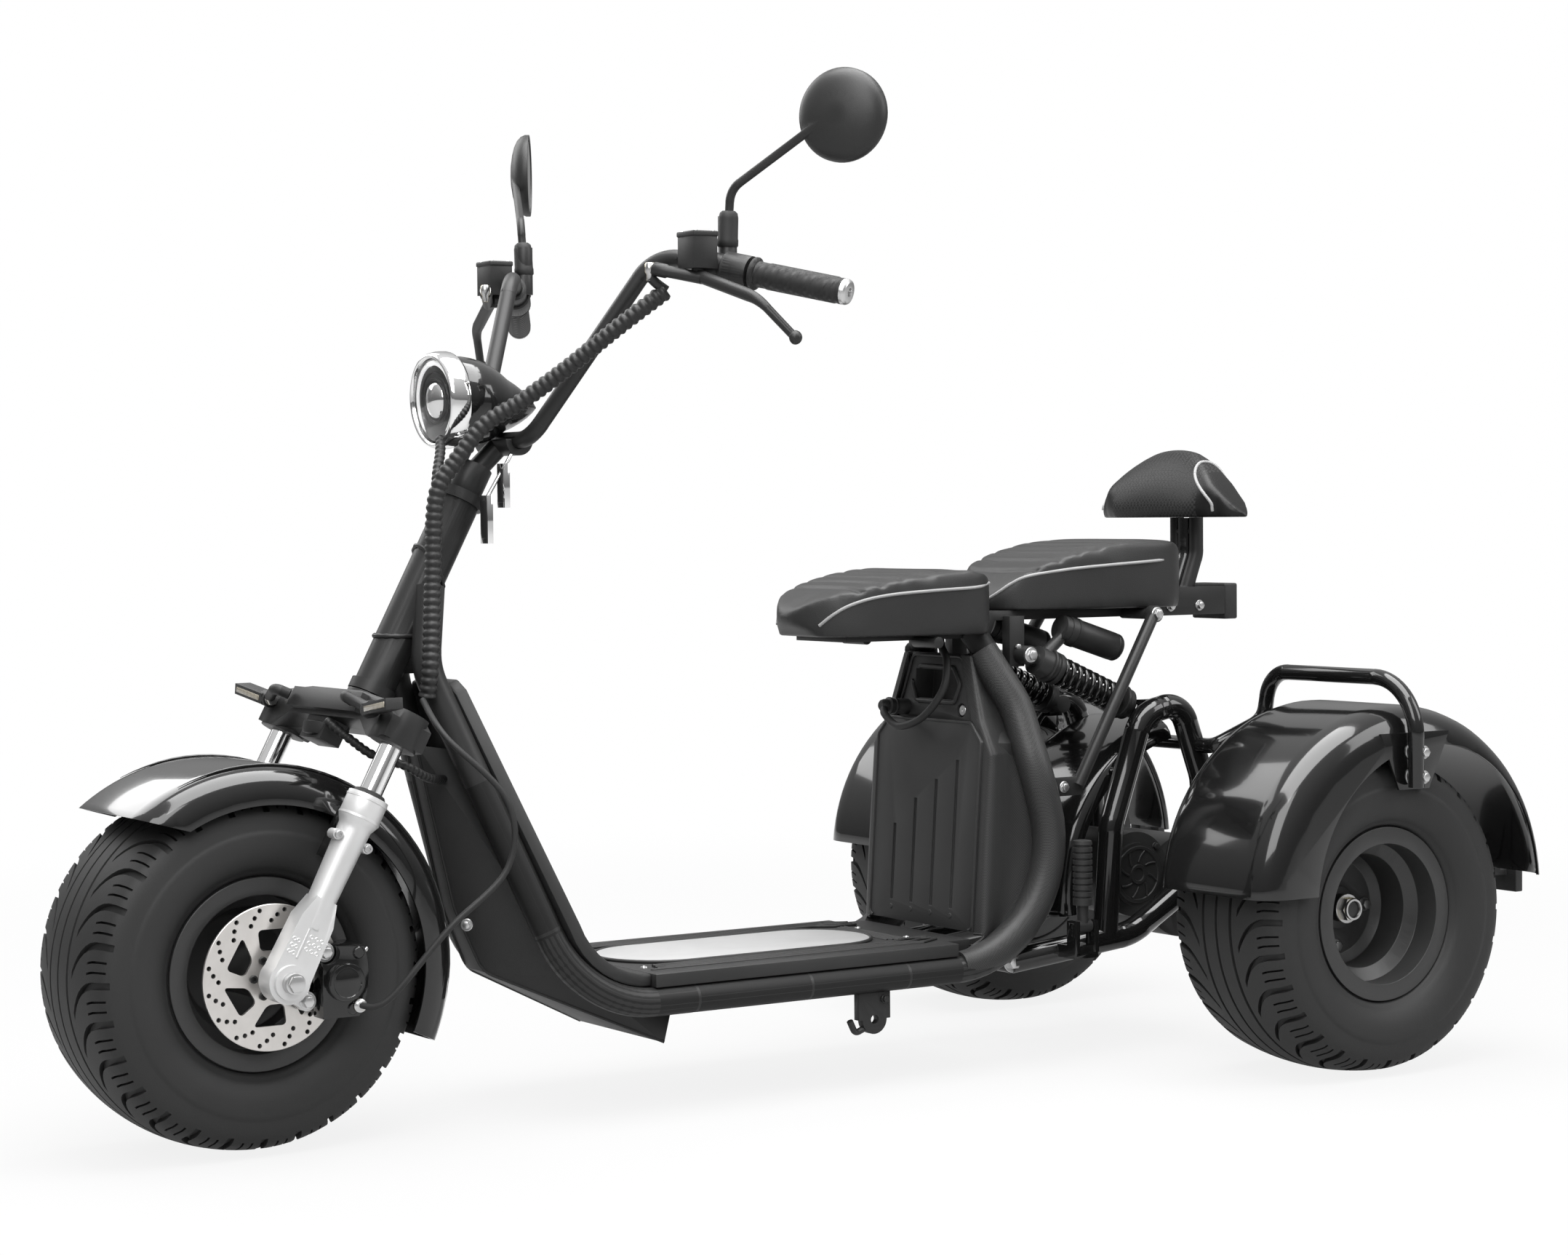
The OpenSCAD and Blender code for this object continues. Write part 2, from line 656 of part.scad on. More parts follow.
module steering_stem() placed() color(satin) difference() {
  steer() {
    translate([-fork_offset, 0, yoke_high]) cylinder(h = stem_top - yoke_high, d = stem_d);
    translate([-fork_offset, 0, yoke_high]) cylinder(h = head_low - yoke_high - 1, d = head_d + 6);
    translate([-fork_offset, 0, head_high + 1]) cylinder(h = stem_top - head_high - 1, d = head_d - 8);
    rod([-fork_offset, 0, stem_top - 12], [clamp_x, 0, clamp_s], 14);
    translate([clamp_x, -clamp_hw, clamp_s]) rotate([-90, 0, 0]) cylinder(h = 2 * clamp_hw, r = clamp_r);
  }
  translate(bar_foot - [40, 2 * bar_foot[1], -1]) cube([80, 2 * bar_foot[1], 60]);
  steer() translate([clamp_x, -60, clamp_s]) rotate([-90, 0, 0]) cylinder(h = 120, r = bar_d / 2 + seat_fit);
}

module fork_yoke() placed() color(satin) steer() difference() {
  union() {
    translate([-30, 0, 0]) rotate([90, 0, 90]) linear_extrude(58)
      polygon([[-186, yoke_low], [-186, 346], [-150, 364], [-70, yoke_high], [70, yoke_high], [150, 364],
        [186, 346], [186, yoke_low], [140, yoke_low - 4], [104, 334], [-104, 334], [-140, yoke_low - 4]]);
    both_sides() translate([0, leg_y, yoke_low - 4]) cylinder(h = 44, r = 30);
    translate([28, -100, 340]) cube([10, 200, 26]);
    translate([-6, -52, 304]) cube([30, 60, 34]);
  }
  both_sides() translate([0, leg_y, yoke_low - 6]) cylinder(h = 70, d = stanchion_d);
}

slider_top = 245;

module fork_stanchions() placed() color(chrome) steer() both_sides()
  translate([0, leg_y, slider_top - 50]) cylinder(h = yoke_low + 38 - slider_top + 50, d = stanchion_d);

arm_in = 137;
arm_t = 9;
caliper_bolts = [[-61, 28], [-36, -30]];

boss_in = 22;
boss_out = 22;
paddle_t = 32;

module caliper_arms() rotate([90, 0, 0]) translate([0, 0, -arm_in - arm_t]) linear_extrude(arm_t) {
  for (p = caliper_bolts) {
    polygon([[-8, 14], [8, -14], [p[0] + 6, p[1] - 9], [p[0] - 6, p[1] + 9]]);
    translate(p) circle(r = 12);
  }
}

module slider_leg() {
  half = slider_d / 2;
  rotate_extrude() polygon([[0, 70], [half - 3.5, 70], [half - 3, 110], [half - 1, 180],
    [half, 204], [half + 5, 214], [half + 5, slider_top], [0, slider_top]]);
  translate([0, paddle_t / 2, 0]) rotate([90, 0, 0]) linear_extrude(paddle_t) {
    polygon([[-26, -2], [26, -2], [23, 80], [14, 108], [-14, 108], [-23, 80]]);
    circle(r = 27);
  }
  translate([0, -boss_in, 0]) rotate([-90, 0, 0]) cylinder(h = boss_in + boss_out, d = 43);
  for (x = [-1, 1]) translate([x * (half + 1), -6, 186]) rotate([-90, 0, 0]) cylinder(h = 18, d = 13);
}

module fork_sliders() placed() color(alloy) difference() {
  union() {
    both_sides() steer() translate([0, leg_y, 0]) slider_leg();
    translate([wheelbase, 0, axle_z]) caliper_arms();
  }
  both_sides() steer() translate([0, leg_y, slider_top - 50]) cylinder(h = 51, d = stanchion_d);
  about_axle(wheelbase) translate([0, 0, -leg_y - 40]) cylinder(h = 2 * leg_y + 80, d = axle_d);
}

hub_left = 121;
hub_right = 96;
spacer_d = 26;

module front_axle() placed() color(steel) about_axle(wheelbase) union() {
  translate([0, 0, -leg_y - 36]) cylinder(h = 2 * leg_y + 72, d = axle_d);
  for (e = [0, 1]) mirror([0, 0, e]) translate([0, 0, leg_y + boss_out]) cylinder(h = 11, d = 26);
  translate([0, 0, hub_left + 6]) cylinder(h = arm_in - hub_left - 6, d = spacer_d);
  translate([0, 0, -leg_y + boss_in]) cylinder(h = leg_y - boss_in - hub_right - 1, d = spacer_d);
}

arch_gap = 29;
arch_r = axle_z + arch_gap;
arch_t = 3.5;
arch_hw = 119;
arch_skirt = 44;
arch_from = 45;
arch_to = 204;

module arch_section() polygon(concat(
  curve([arch_r - arch_skirt, -arch_hw - arch_t], [arch_r + arch_t, -arch_hw - arch_t],
    [arch_r + arch_t, -arch_hw + 40], 6),
  curve([arch_r + arch_t, arch_hw - 40], [arch_r + arch_t, arch_hw + arch_t],
    [arch_r - arch_skirt, arch_hw + arch_t], 6),
  curve([arch_r - arch_skirt, arch_hw], [arch_r, arch_hw], [arch_r, arch_hw - 40], 6),
  curve([arch_r, -arch_hw + 40], [arch_r, -arch_hw], [arch_r - arch_skirt, -arch_hw], 6)));

lip_at = 61;
lip_slope = 16;
lip_r = arch_r - arch_skirt;
lug_s = 158;

module front_fender() placed() color(paint) union() {
  difference() {
    translate([wheelbase, 0, axle_z]) rotate([90, 0, 0]) rotate([0, 0, arch_from])
      rotate_extrude(angle = arch_to - arch_from, $fn = 96) arch_section();
    translate([wheelbase + lip_r * cos(lip_at), -2 * arch_hw, axle_z + lip_r * sin(lip_at)])
      rotate([0, -lip_slope, 0]) translate([0, 0, -arch_r]) cube([arch_r, 4 * arch_hw, arch_r]);
  }
  both_sides() steer() {
    translate([-13, arch_hw + 1, lug_s]) cube([26, leg_y - slider_d / 2 - arch_hw - 1.4, 40]);
    translate([-13, arch_hw + 1, lug_s + 30]) cube([26, 11, 36]);
  }
}

caliper_pos = [-76, -8];
caliper_out = 168;
pad_gap = 5.5;
ear_in = hub_left + disc_t + pad_gap;

module brake_caliper() placed() color(paint) translate([wheelbase, 0, axle_z]) difference() {
  union() {
    intersection() {
      translate([caliper_pos[0] - 38, 104, caliper_pos[1] - 44]) cube([62, caliper_out - 114, 88]);
      translate([0, 100, 0]) rotate([-90, 0, 0]) cylinder(h = 80, r = 113);
    }
    translate([caliper_pos[0] - 4, 150, caliper_pos[1]]) rotate([-90, 0, 0])
      cylinder(h = caliper_out - 150, r = 24);
    for (p = caliper_bolts) translate([p[0], ear_in, p[1]]) {
      rotate([-90, 0, 0]) cylinder(h = arm_in - seat_fit - ear_in, r = 12);
      translate([-24, 0, -9]) cube([24, arm_in - seat_fit - ear_in, 18]);
    }
  }
  translate([0, hub_left - pad_gap, 0]) rotate([-90, 0, 0])
    cylinder(h = disc_t + 2 * pad_gap, r = disc_d / 2 + 5);
  translate([0, arm_in - seat_fit, 0]) caliper_room();
}

module caliper_room() {
  for (p = caliper_bolts) translate([p[0], 0, p[1]]) rotate([-90, 0, 0]) cylinder(h = 60, r = 14);
  rotate([0, -rake, 0]) translate([-30, 0, -60]) cube([60, 60, 200]);
}

// Headlamp: a bullet shell with a broad bright rim and a clear face

lamp_pos = [wheelbase - 294, 0, 933];
lamp_tilt = 3;
lamp_len = 150;

module at_lamp() translate(lamp_pos) rotate([0, 90 - lamp_tilt, 0]) children();

module headlamp_shell() placed() color(paint) union() {
  at_lamp() rotate_extrude() polygon(concat([[0, -4], [lamp_d / 2 - 8, -4], [lamp_d / 2 - 8, -22]],
    curve([lamp_d / 2 - 3, -22], [lamp_d / 2 + 1, -60], [lamp_d / 2 - 26, -98], 7),
    curve([lamp_d / 2 - 26, -98], [lamp_d / 2 - 42, -134], [0, -lamp_len], 5)));
  steer() translate([4, 0, stem_top + seat_fit]) cylinder(h = 34, r = 9);
}

module headlamp_bezel() placed() color(chrome) at_lamp() rotate_extrude()
  polygon([[lamp_d / 2 - 8, -21.5], [lamp_d / 2, -21.5], [lamp_d / 2 + 1, -6], [lamp_d / 2 - 5, 6],
    [lamp_d / 2 - 12, 4], [lamp_d / 2 - 8, -3.7]]);

module headlamp_glass() placed() color(clear) at_lamp() rotate_extrude()
  polygon(concat([[0, -3.7], [lamp_d / 2 - 12.5, -3.7]],
    curve([lamp_d / 2 - 12.5, 2], [lamp_d / 4, 9], [0, 9], 6)));

// Handlebar with grips, controls and mirrors

bar_end = [wheelbase - 649, bar_w / 2, 1058];
bar_bend = [wheelbase - 515, 193, 1116];
bar_foot = [steer_x(clamp_x, clamp_s), 72, steer_z(clamp_x, clamp_s)];
grip_dir = unit(bar_end - bar_bend);
grip_len = 128;
perch_d = 150;

function mirrored(p) = [p[0], -p[1], p[2]];

module handlebar() placed() color(satin)
  bent_tube([mirrored(bar_end), mirrored(bar_bend), mirrored(bar_foot), bar_foot, bar_bend, bar_end],
    [0, 56, 40, 40, 56, 0], bar_d / 2);

function on_grip(d) = bar_end - grip_dir * d;

module along_grip(d) translate(on_grip(d))
  rotate([0, acos(grip_dir[2]), atan2(grip_dir[1], grip_dir[0])]) children();

module grips() placed() color(rubber) both_sides() along_grip(grip_len) difference() {
  union() {
    cylinder(h = grip_len + 8, d = bar_d + 11);
    cylinder(h = 5, d = bar_d + 20);
  }
  translate([0, 0, -1]) cylinder(h = grip_len + 1.3, d = bar_d + 2 * seat_fit);
}

lever_root = on_grip(perch_d + 22) + [40, -4, -10];
lever_mid = on_grip(60) + [66, 4, -22];
lever_tip = on_grip(0) + [68, -8, -58];

cup_pos = [wheelbase - 546, 250, 1092];
cup_size = [34, 40, 44];

module hand_controls() placed() color(satin) both_sides() difference() {
  union() {
    along_grip(perch_d + 50) cylinder(h = 34, d = bar_d + 12);
    along_grip(perch_d + 14) cylinder(h = 32, d = bar_d + 20);
    translate(mirror_foot - [0, 0, 28]) cylinder(h = 27.7, r = 12);
    translate(cup_pos) cube(cup_size);
    rod(on_grip(perch_d + 33), cup_pos + cup_size / 2, 10);
    rod(on_grip(perch_d + 22), lever_root, 9);
    bent_tube([lever_root, lever_mid, lever_tip], [0, 60, 0], 5.5);
    translate(lever_tip) sphere(r = 9);
  }
  along_grip(perch_d + 140) cylinder(h = 300, d = bar_d + 2 * seat_fit);
}

mirror_pos = [wheelbase - 653, 411, 1278];
mirror_yaw = 32;
mirror_elbow = [wheelbase - 575, 276, 1193];
mirror_foot = [wheelbase - 575, 268, 1122];

module mirrors() placed() color(paint) both_sides() union() {
  rod(mirror_foot, mirror_foot + [0, 0, 38], 12);
  bent_tube([mirror_foot + [0, 0, 4], mirror_elbow, mirror_pos + [14, 0, 0]], [0, 30, 0], 5.5);
  translate(mirror_pos) rotate([0, 90, mirror_yaw]) rotate_extrude()
    polygon(concat([[0, -6], [mirror_d / 2 - 6, -6], [mirror_d / 2 - 6, -10], [mirror_d / 2, -10]],
      curve([mirror_d / 2, -4], [mirror_d / 2 - 4, 16], [0, 18], 6)));
}

module mirror_glasses() placed() color(chrome) both_sides()
  translate(mirror_pos) rotate([0, 90, mirror_yaw]) translate([0, 0, -9])
    cylinder(h = 3, d = mirror_d - 12.6);

stalk_root = [steer_x(43, 352), 92, steer_z(43, 352)];
stalk_end = [wheelbase - 124, 150, 548];

module front_indicators() placed() color(paint) both_sides() union() {
  bent_tube([stalk_root, stalk_root + [16, 10, 8], stalk_end], [0, 10, 0], 7);
  rod(stalk_end - [0, 6, 1], stalk_end + [0.3, 8, 1], 11);
  translate(stalk_end) rotate([8, 0, -3]) translate([-11, 0, -7]) cube([22, 76, 14]);
}

// Cords and the keys

module wiring_loom() placed() color(rubber)
  cord([[wheelbase - 509, 226, 1067], [wheelbase - 457, 195, 1022], [wheelbase - 406, 150, 970],
    [wheelbase - 361, 112, 929], [wheelbase - 321, 88, 900], [wheelbase - 287, 74, 855],
    [wheelbase - 262, 66, 810], [wheelbase - 256, 64, 710], [wheelbase - 249, 73, 640],
    [wheelbase - 243, 79.5, 592], [wheelbase - 240.8, 74, 556]], 11, 6);

module brake_hose() placed() color(rubber)
  cord([[wheelbase - 100, 161.4, 186], [wheelbase - 126, 186, 194], [wheelbase - 200, 204, 276],
    [wheelbase - 282, 206, 346], [wheelbase - 284, 204, 430], [wheelbase - 222, 160, 510],
    [wheelbase - 229.2, 84.6, 552]], 4, 7);

key_y = 46;
key_dir = [cos(60), 0, -sin(60)];
key_root = [bar_foot[0], key_y - 6, bar_foot[2]] + (clamp_r + seat_fit) * key_dir;

module key_fobs() placed() color(steel) union() {
  rod(key_root, key_root + 26 * key_dir, 2.5);
  translate([wheelbase - 372, key_y - 8, 794]) cube([8, 20, 57]);
  rod([wheelbase - 368, key_y, 844], [wheelbase - 344, key_y, 806], 2.5);
  translate([wheelbase - 348, key_y - 10, 748]) cube([8, 20, 62]);
}

// Wheels

bead_r = 102;

module tyre_section() {
  flange_r = rim_d / 2;
  flange_y = rim_w / 2;
  half = concat([[bead_r + seat_fit, flange_y - 26], [bead_r + seat_fit, flange_y - 6.3],
      [flange_r + 0.5, flange_y - 6.3], [flange_r + 3, flange_y - 2]],
    curve([flange_r + 3, flange_y - 2], [flange_r + 24, tyre_hw + 2], [axle_z - 54, tyre_hw], 5),
    curve([axle_z - 54, tyre_hw], [axle_z - 14, tyre_hw - 4], [axle_z - 9, 84], 6),
    curve([axle_z - 9, 84], [axle_z - 2, 50], [axle_z, 0], 5));
  inner = concat([[axle_z - tyre_wall, 0], [axle_z - tyre_wall - 6, 76]],
    curve([axle_z - tyre_wall - 6, 76], [axle_z - tyre_wall - 14, tyre_hw - 16],
      [axle_z - 60, tyre_hw - 12], 5),
    curve([axle_z - 60, tyre_hw - 12], [flange_r + 22, tyre_hw - 12], [bead_r + 14, flange_y - 26], 5));
  polygon(concat(half, flip_y(rest(back(half))), flip_y(back(inner)), rest(inner)));
}

module tyre() rotate_extrude($fn = 64) tyre_section();

module rim_section(web_y, web_r, hub_r, hub_lo, hub_hi, bore) {
  fy = rim_w / 2;
  fr = rim_d / 2;
  polygon(concat([[fr, fy], [fr, fy - 6], [bead_r, fy - 6], [bead_r, fy - 34], [bead_r - 18, fy - 44],
      [bead_r - 18, -fy + 44], [bead_r, -fy + 34], [bead_r, -fy + 6], [fr, -fy + 6], [fr, -fy],
      [bead_r - 5, -fy], [bead_r - 5, -fy + 36], [bead_r - 23, -fy + 46],
      [bead_r - 23, web_y - 22], [web_r, web_y - 4], [hub_r, web_y - 4], [hub_r, hub_lo], [bore, hub_lo],
      [bore, hub_hi], [hub_r, hub_hi], [hub_r, web_y + 4], [web_r, web_y + 4],
      [bead_r - 23, web_y + 14], [bead_r - 23, fy - 46], [bead_r - 5, fy - 36], [bead_r - 5, fy]]));
}

module front_tyre() placed() color(rubber) about_axle(wheelbase) tyre();

module front_rim() placed() color(paint) about_axle(wheelbase) rotate_extrude($fn = 64)
  rim_section(10, 66, 30, -hub_right, hub_left, axle_d / 2 + run_fit);

module brake_disc() placed() color(steel) about_axle(wheelbase) translate([0, 0, hub_left]) difference() {
  cylinder(h = disc_t, d = disc_d);
  translate([0, 0, -1]) cylinder(h = disc_t + 2, d = axle_d + 16);
  for (i = [0:5]) rotate([0, 0, 60 * i]) translate([50, 0, -1]) cylinder(h = disc_t + 2, r = 11);
}

web_y = -10;

module rear_rim() union() {
  difference() {
    rotate_extrude($fn = 64) rim_section(web_y, 67, 30, web_y - 34, web_y + 12, 1);
    for (i = [0:3]) rotate([0, 0, 90 * i]) translate([55, 0, web_y - 10]) cylinder(h = 20, r = 5);
  }
  translate([0, 0, -160]) cylinder(h = 160 + web_y, r = shaft_r);
  translate([0, 0, web_y]) cylinder(h = 40, r = 12);
  translate([0, 0, web_y + 12]) cylinder(h = 16, r = 19);
}

module at_rear_left() about_axle(0) translate([0, 0, wheel_y]) children();

module rear_left_tyre() placed() color(rubber) at_rear_left() tyre();

module rear_left_rim() placed() color(paint) at_rear_left() rear_rim();

module rear_right_tyre() placed() color(rubber) mirror([0, 1, 0]) at_rear_left() tyre();

module rear_right_rim() placed() color(paint) mirror([0, 1, 0]) at_rear_left() rear_rim();

// Folding foot pegs of the rear seat, drawn folded up

peg_len = 122;

module peg() translate(peg_pos) union() {
  rod([-18, 0, 0], [18, 0, 0], pin_r);
  rod([-12.5, 0, 0], [12.5, 0, 0], 9);
  rod([0, 0, 0], [0, 0, 30], 8);
  rod([0, 0, 28], [0, 0, peg_len], 14);
}

module peg_left() placed() color(rubber) peg();

module peg_right() placed() color(rubber) mirror([0, 1, 0]) peg();

main_frame();
deck_moulding();
deck_plate();
leg_shield();
belly_pan();
battery_pack();
battery_surround();
battery_lead();
front_seat();
rear_seat();
seat_frame();
backrest_pad();
backrest_post();
tail_lamp();
seat_struts();
shock_absorbers();
shock_springs();
swing_frame();
rear_mudguard();
drive_axle();
rear_fenders();
grab_rails();
rear_reflectors();
stand_bracket();
steering_stem();
fork_yoke();
fork_stanchions();
fork_sliders();
front_axle();
front_fender();
brake_caliper();
headlamp_shell();
headlamp_bezel();
headlamp_glass();
handlebar();
grips();
hand_controls();
mirrors();
mirror_glasses();
front_indicators();
wiring_loom();
brake_hose();
key_fobs();
front_tyre();
front_rim();
brake_disc();
rear_left_tyre();
rear_left_rim();
rear_right_tyre();
rear_right_rim();
peg_left();
peg_right();
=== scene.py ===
import json
import math
import bmesh
import bpy
from mathutils import Matrix, Vector
from mathutils.bvhtree import BVHTree


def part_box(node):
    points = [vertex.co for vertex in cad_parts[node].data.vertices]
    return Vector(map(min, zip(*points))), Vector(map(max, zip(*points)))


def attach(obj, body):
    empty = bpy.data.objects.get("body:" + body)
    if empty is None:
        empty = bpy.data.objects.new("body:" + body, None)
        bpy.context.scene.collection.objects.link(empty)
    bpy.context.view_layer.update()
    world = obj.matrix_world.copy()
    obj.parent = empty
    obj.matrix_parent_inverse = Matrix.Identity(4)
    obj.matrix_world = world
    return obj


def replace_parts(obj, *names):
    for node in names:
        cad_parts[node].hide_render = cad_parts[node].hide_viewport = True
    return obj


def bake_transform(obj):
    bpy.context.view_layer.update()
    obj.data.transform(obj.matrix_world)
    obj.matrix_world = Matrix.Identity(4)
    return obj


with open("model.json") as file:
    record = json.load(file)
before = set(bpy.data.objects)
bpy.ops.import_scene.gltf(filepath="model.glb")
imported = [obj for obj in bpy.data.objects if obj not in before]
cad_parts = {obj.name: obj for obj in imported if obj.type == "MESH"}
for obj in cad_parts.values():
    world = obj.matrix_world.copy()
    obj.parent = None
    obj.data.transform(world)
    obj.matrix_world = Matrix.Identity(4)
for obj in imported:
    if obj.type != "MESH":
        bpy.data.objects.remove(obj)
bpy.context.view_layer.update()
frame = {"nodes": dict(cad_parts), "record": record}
nodes = frame["nodes"]

# Studio: white paper under soft boxes. The camera stands off the left front
# corner at saddle height, with a long lens, where the photograph was taken.
tyre_low, tyre_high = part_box("rear_left_tyre")
rear_axle = Vector(((tyre_low.x + tyre_high.x) / 2, 0, 0))


def spot(x, y, z):
    """A point given in millimetres from the ground under the rear axle."""
    return rear_axle + Vector((x, y, z)) / 1000


def placed(name, bm):
    """A bmesh as an object of the scene."""
    mesh = bpy.data.meshes.new(name)
    bm.to_mesh(mesh)
    bm.free()
    piece = bpy.data.objects.new(name, mesh)
    bpy.context.scene.collection.objects.link(piece)
    return piece


class Socket:
    """One output of a shader node. Arithmetic on it adds Math nodes."""

    def __init__(self, finish, link):
        self.finish, self.link = finish, link

    def math(self, operation, *values):
        return self.finish.node("Math", {"operation": operation}, values)

    def __add__(self, other):
        return self.math("ADD", self, other)

    def __radd__(self, other):
        return self.math("ADD", other, self)

    def __sub__(self, other):
        return self.math("SUBTRACT", self, other)

    def __rsub__(self, other):
        return self.math("SUBTRACT", other, self)

    def __mul__(self, other):
        return self.math("MULTIPLY", self, other)

    def __rmul__(self, other):
        return self.math("MULTIPLY", other, self)

    def above(self, level):
        return self.math("GREATER_THAN", self, level)


class Finish:
    """A material, or the sky, whose nodes are added one call at a time."""

    def __init__(self, name, kind="Material", place="Object"):
        self.material = (bpy.data.worlds if kind == "World" else bpy.data.materials).new(name)
        self.material.use_nodes = True
        self.tree = self.material.node_tree
        self.tree.nodes.clear()
        self.out = self.tree.nodes.new("ShaderNodeOutput" + kind)
        self.place = self.node("TexCoord", out=place)

    def node(self, kind, settings=None, inputs=(), out=0):
        made = self.tree.nodes.new("ShaderNode" + kind)
        for key, value in (settings or {}).items():
            setattr(made, key, value)
        pairs = inputs.items() if isinstance(inputs, dict) else enumerate(inputs)
        for key, value in pairs:
            if isinstance(value, Socket):
                self.tree.links.new(value.link, made.inputs[key])
            else:
                made.inputs[key].default_value = value
        return Socket(self, made.outputs[out])

    def noise(self, scale, detail=2.0, stretch=(1, 1, 1)):
        where = self.node("Mapping", None, {"Vector": self.place, "Scale": stretch})
        return self.node("TexNoise", None, {"Vector": where, "Scale": scale, "Detail": detail})

    def cells(self, scale):
        return self.node("TexVoronoi", {"feature": "DISTANCE_TO_EDGE"}, {"Vector": self.place, "Scale": scale})

    def mix(self, factor, first, second):
        return self.node("Mix", {"data_type": "RGBA"}, {0: factor, 6: first, 7: second}, out=2)

    def bump(self, height, distance, strength=1.0):
        return self.node("Bump", None, {"Height": height, "Distance": distance, "Strength": strength}, "Normal")

    def surface(self, shader):
        self.tree.links.new(shader.link, self.out.inputs["Surface"])
        return self

    def shade(self, **sockets):
        values = {key.replace("_", " "): value for key, value in sockets.items()}
        return self.surface(self.node("BsdfPrincipled", None, values))


def grey(level, warm=0.0):
    return (level * (1 + warm), level, level * (1 - warm), 1)


paper = Finish("studio_paper")
seen = (paper.node("LightPath", out="Is Camera Ray") + paper.node("LightPath", out="Is Transmission Ray")
        + paper.node("LightPath", out="Is Glossy Ray") * 0.45)
lit = paper.node("BsdfDiffuse", None, {"Color": grey(0.38)})
glow = paper.node("Emission", None, {"Color": grey(1.0), "Strength": 1.0})
across_floor = paper.node("VectorMath", {"operation": "LENGTH"}, {0: paper.place}, "Value")
far_off = paper.node("MapRange", {"interpolation_type": "SMOOTHSTEP"},
                     {"Value": across_floor, "From Min": 1.3, "From Max": 3.6, "To Min": 0.86})
paper.surface(paper.node("MixShader", None, (seen * far_off, lit, glow)))
sweep = bmesh.new()
bmesh.ops.create_grid(sweep, x_segments=1, y_segments=1, size=30)
studio_floor = placed("studio_floor", sweep)
studio_floor.data.materials.append(paper.material)

sky = Finish("studio_sky", "World", "Generated")
bpy.context.scene.world = sky.material
height = sky.node("SeparateXYZ", None, {"Vector": sky.place}, "Z")
fade = sky.node("MapRange", None, {"Value": height, "To Min": 0.16})
level = sky.node("MapRange", None, {"Value": sky.node("LightPath", out="Is Camera Ray"), "To Min": fade})
sky.surface(sky.node("Background", None, {"Color": grey(1.0), "Strength": level}))

# columns: where the box stands, where it points, its size, its power
SOFT_BOXES = [((2900, 2300, 2700), (700, 0, 500), 2.2, 84), ((-1800, 2400, 2400), (0, 300, 400), 1.8, 44),
              ((1600, -2600, 2600), (700, 0, 600), 2.2, 50), ((700, 500, 3600), (700, 0, 400), 3.2, 250)]
for number, (stand, target, size, power) in enumerate(SOFT_BOXES):
    lamp = bpy.data.lights.new("soft_box_%d" % number, "AREA")
    lamp.size, lamp.energy = size, power
    box = bpy.data.objects.new(lamp.name, lamp)
    box.location = spot(*stand)
    box.rotation_euler = (spot(*target) - box.location).to_track_quat("-Z", "Y").to_euler()
    bpy.context.scene.collection.objects.link(box)

PHOTO_WIDTH, FOCAL_PX, SENSOR = 2156, 4383.4, 36.0
yaw, dip, roll = 0.581, 0.036, -0.009
ahead = Vector((-math.sin(yaw) * math.cos(dip), -math.cos(yaw) * math.cos(dip), -math.sin(dip)))
level_right = ahead.cross(Vector((0, 0, 1))).normalized()
level_up = level_right.cross(ahead)
right = math.cos(roll) * level_right + math.sin(roll) * level_up
upward = -math.sin(roll) * level_right + math.cos(roll) * level_up
optics = bpy.data.cameras.new("photo_camera")
optics.sensor_width = SENSOR
optics.lens = FOCAL_PX * SENSOR / PHOTO_WIDTH
camera = bpy.data.objects.new("photo_camera", optics)
stand = Matrix((right, upward, -ahead)).transposed().to_4x4()
camera.matrix_world = Matrix.Translation(spot(3088.2, 3695.7, 784.4)) @ stand
bpy.context.scene.collection.objects.link(camera)
bpy.context.scene.camera = camera
bpy.context.scene.view_settings.view_transform = "Standard"

# Main frame: two bent steel tubes welded to a head tube and a neck gusset,
# under satin black powder. Black sleeves cover the tubes, with open seams.
body_of = {n: b for b, members in frame["record"]["behaviour"]["bodies"].items() for n in members}
RAKE, WHEELBASE, AXLE_Z, FORK_OFFSET = math.radians(28), 1493.0, 225.0, 19.0


def dress(finish, *names):
    """Gives CAD solids their finish."""
    for name in names:
        nodes[name].data.materials.clear()
        nodes[name].data.materials.append(finish.material)


def coated(name, tone, rough, spread, grain, depth, **more):
    """Paint, powder or moulded skin: its tone, its roughness and drift, its grain's scale and depth."""
    skin = Finish(name)
    drift = skin.noise(7.0, 3.0)
    return skin.shade(Base_Color=skin.mix(drift, grey(tone * 0.8), grey(tone * 1.25)),
                      Roughness=rough - spread * 0.5 + drift * spread,
                      Normal=skin.bump(skin.noise(grain, 2.0), depth), **more)


def welded(bm):
    """Merges doubled points and turns the faces outwards."""
    bmesh.ops.remove_doubles(bm, verts=bm.verts, dist=1e-6)
    bmesh.ops.recalc_face_normals(bm, faces=bm.faces)
    return bm


def build(name, bm, body, finish, sharp=40.0):
    """Makes a bmesh a piece that rides on a body, in the given finish."""
    piece = placed(name, welded(bm))
    piece.data.shade_smooth()
    piece.data.set_sharp_from_angle(angle=math.radians(sharp))
    piece.data.materials.append(finish.material)
    if body:
        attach(piece, body)
    return piece


def steered(ahead_mm, y, up_mm):
    """A point in the fork's own frame: ahead of the legs, across, up along them."""
    return spot(WHEELBASE + ahead_mm * math.cos(RAKE) - up_mm * math.sin(RAKE), y,
                AXLE_Z + ahead_mm * math.sin(RAKE) + up_mm * math.cos(RAKE))


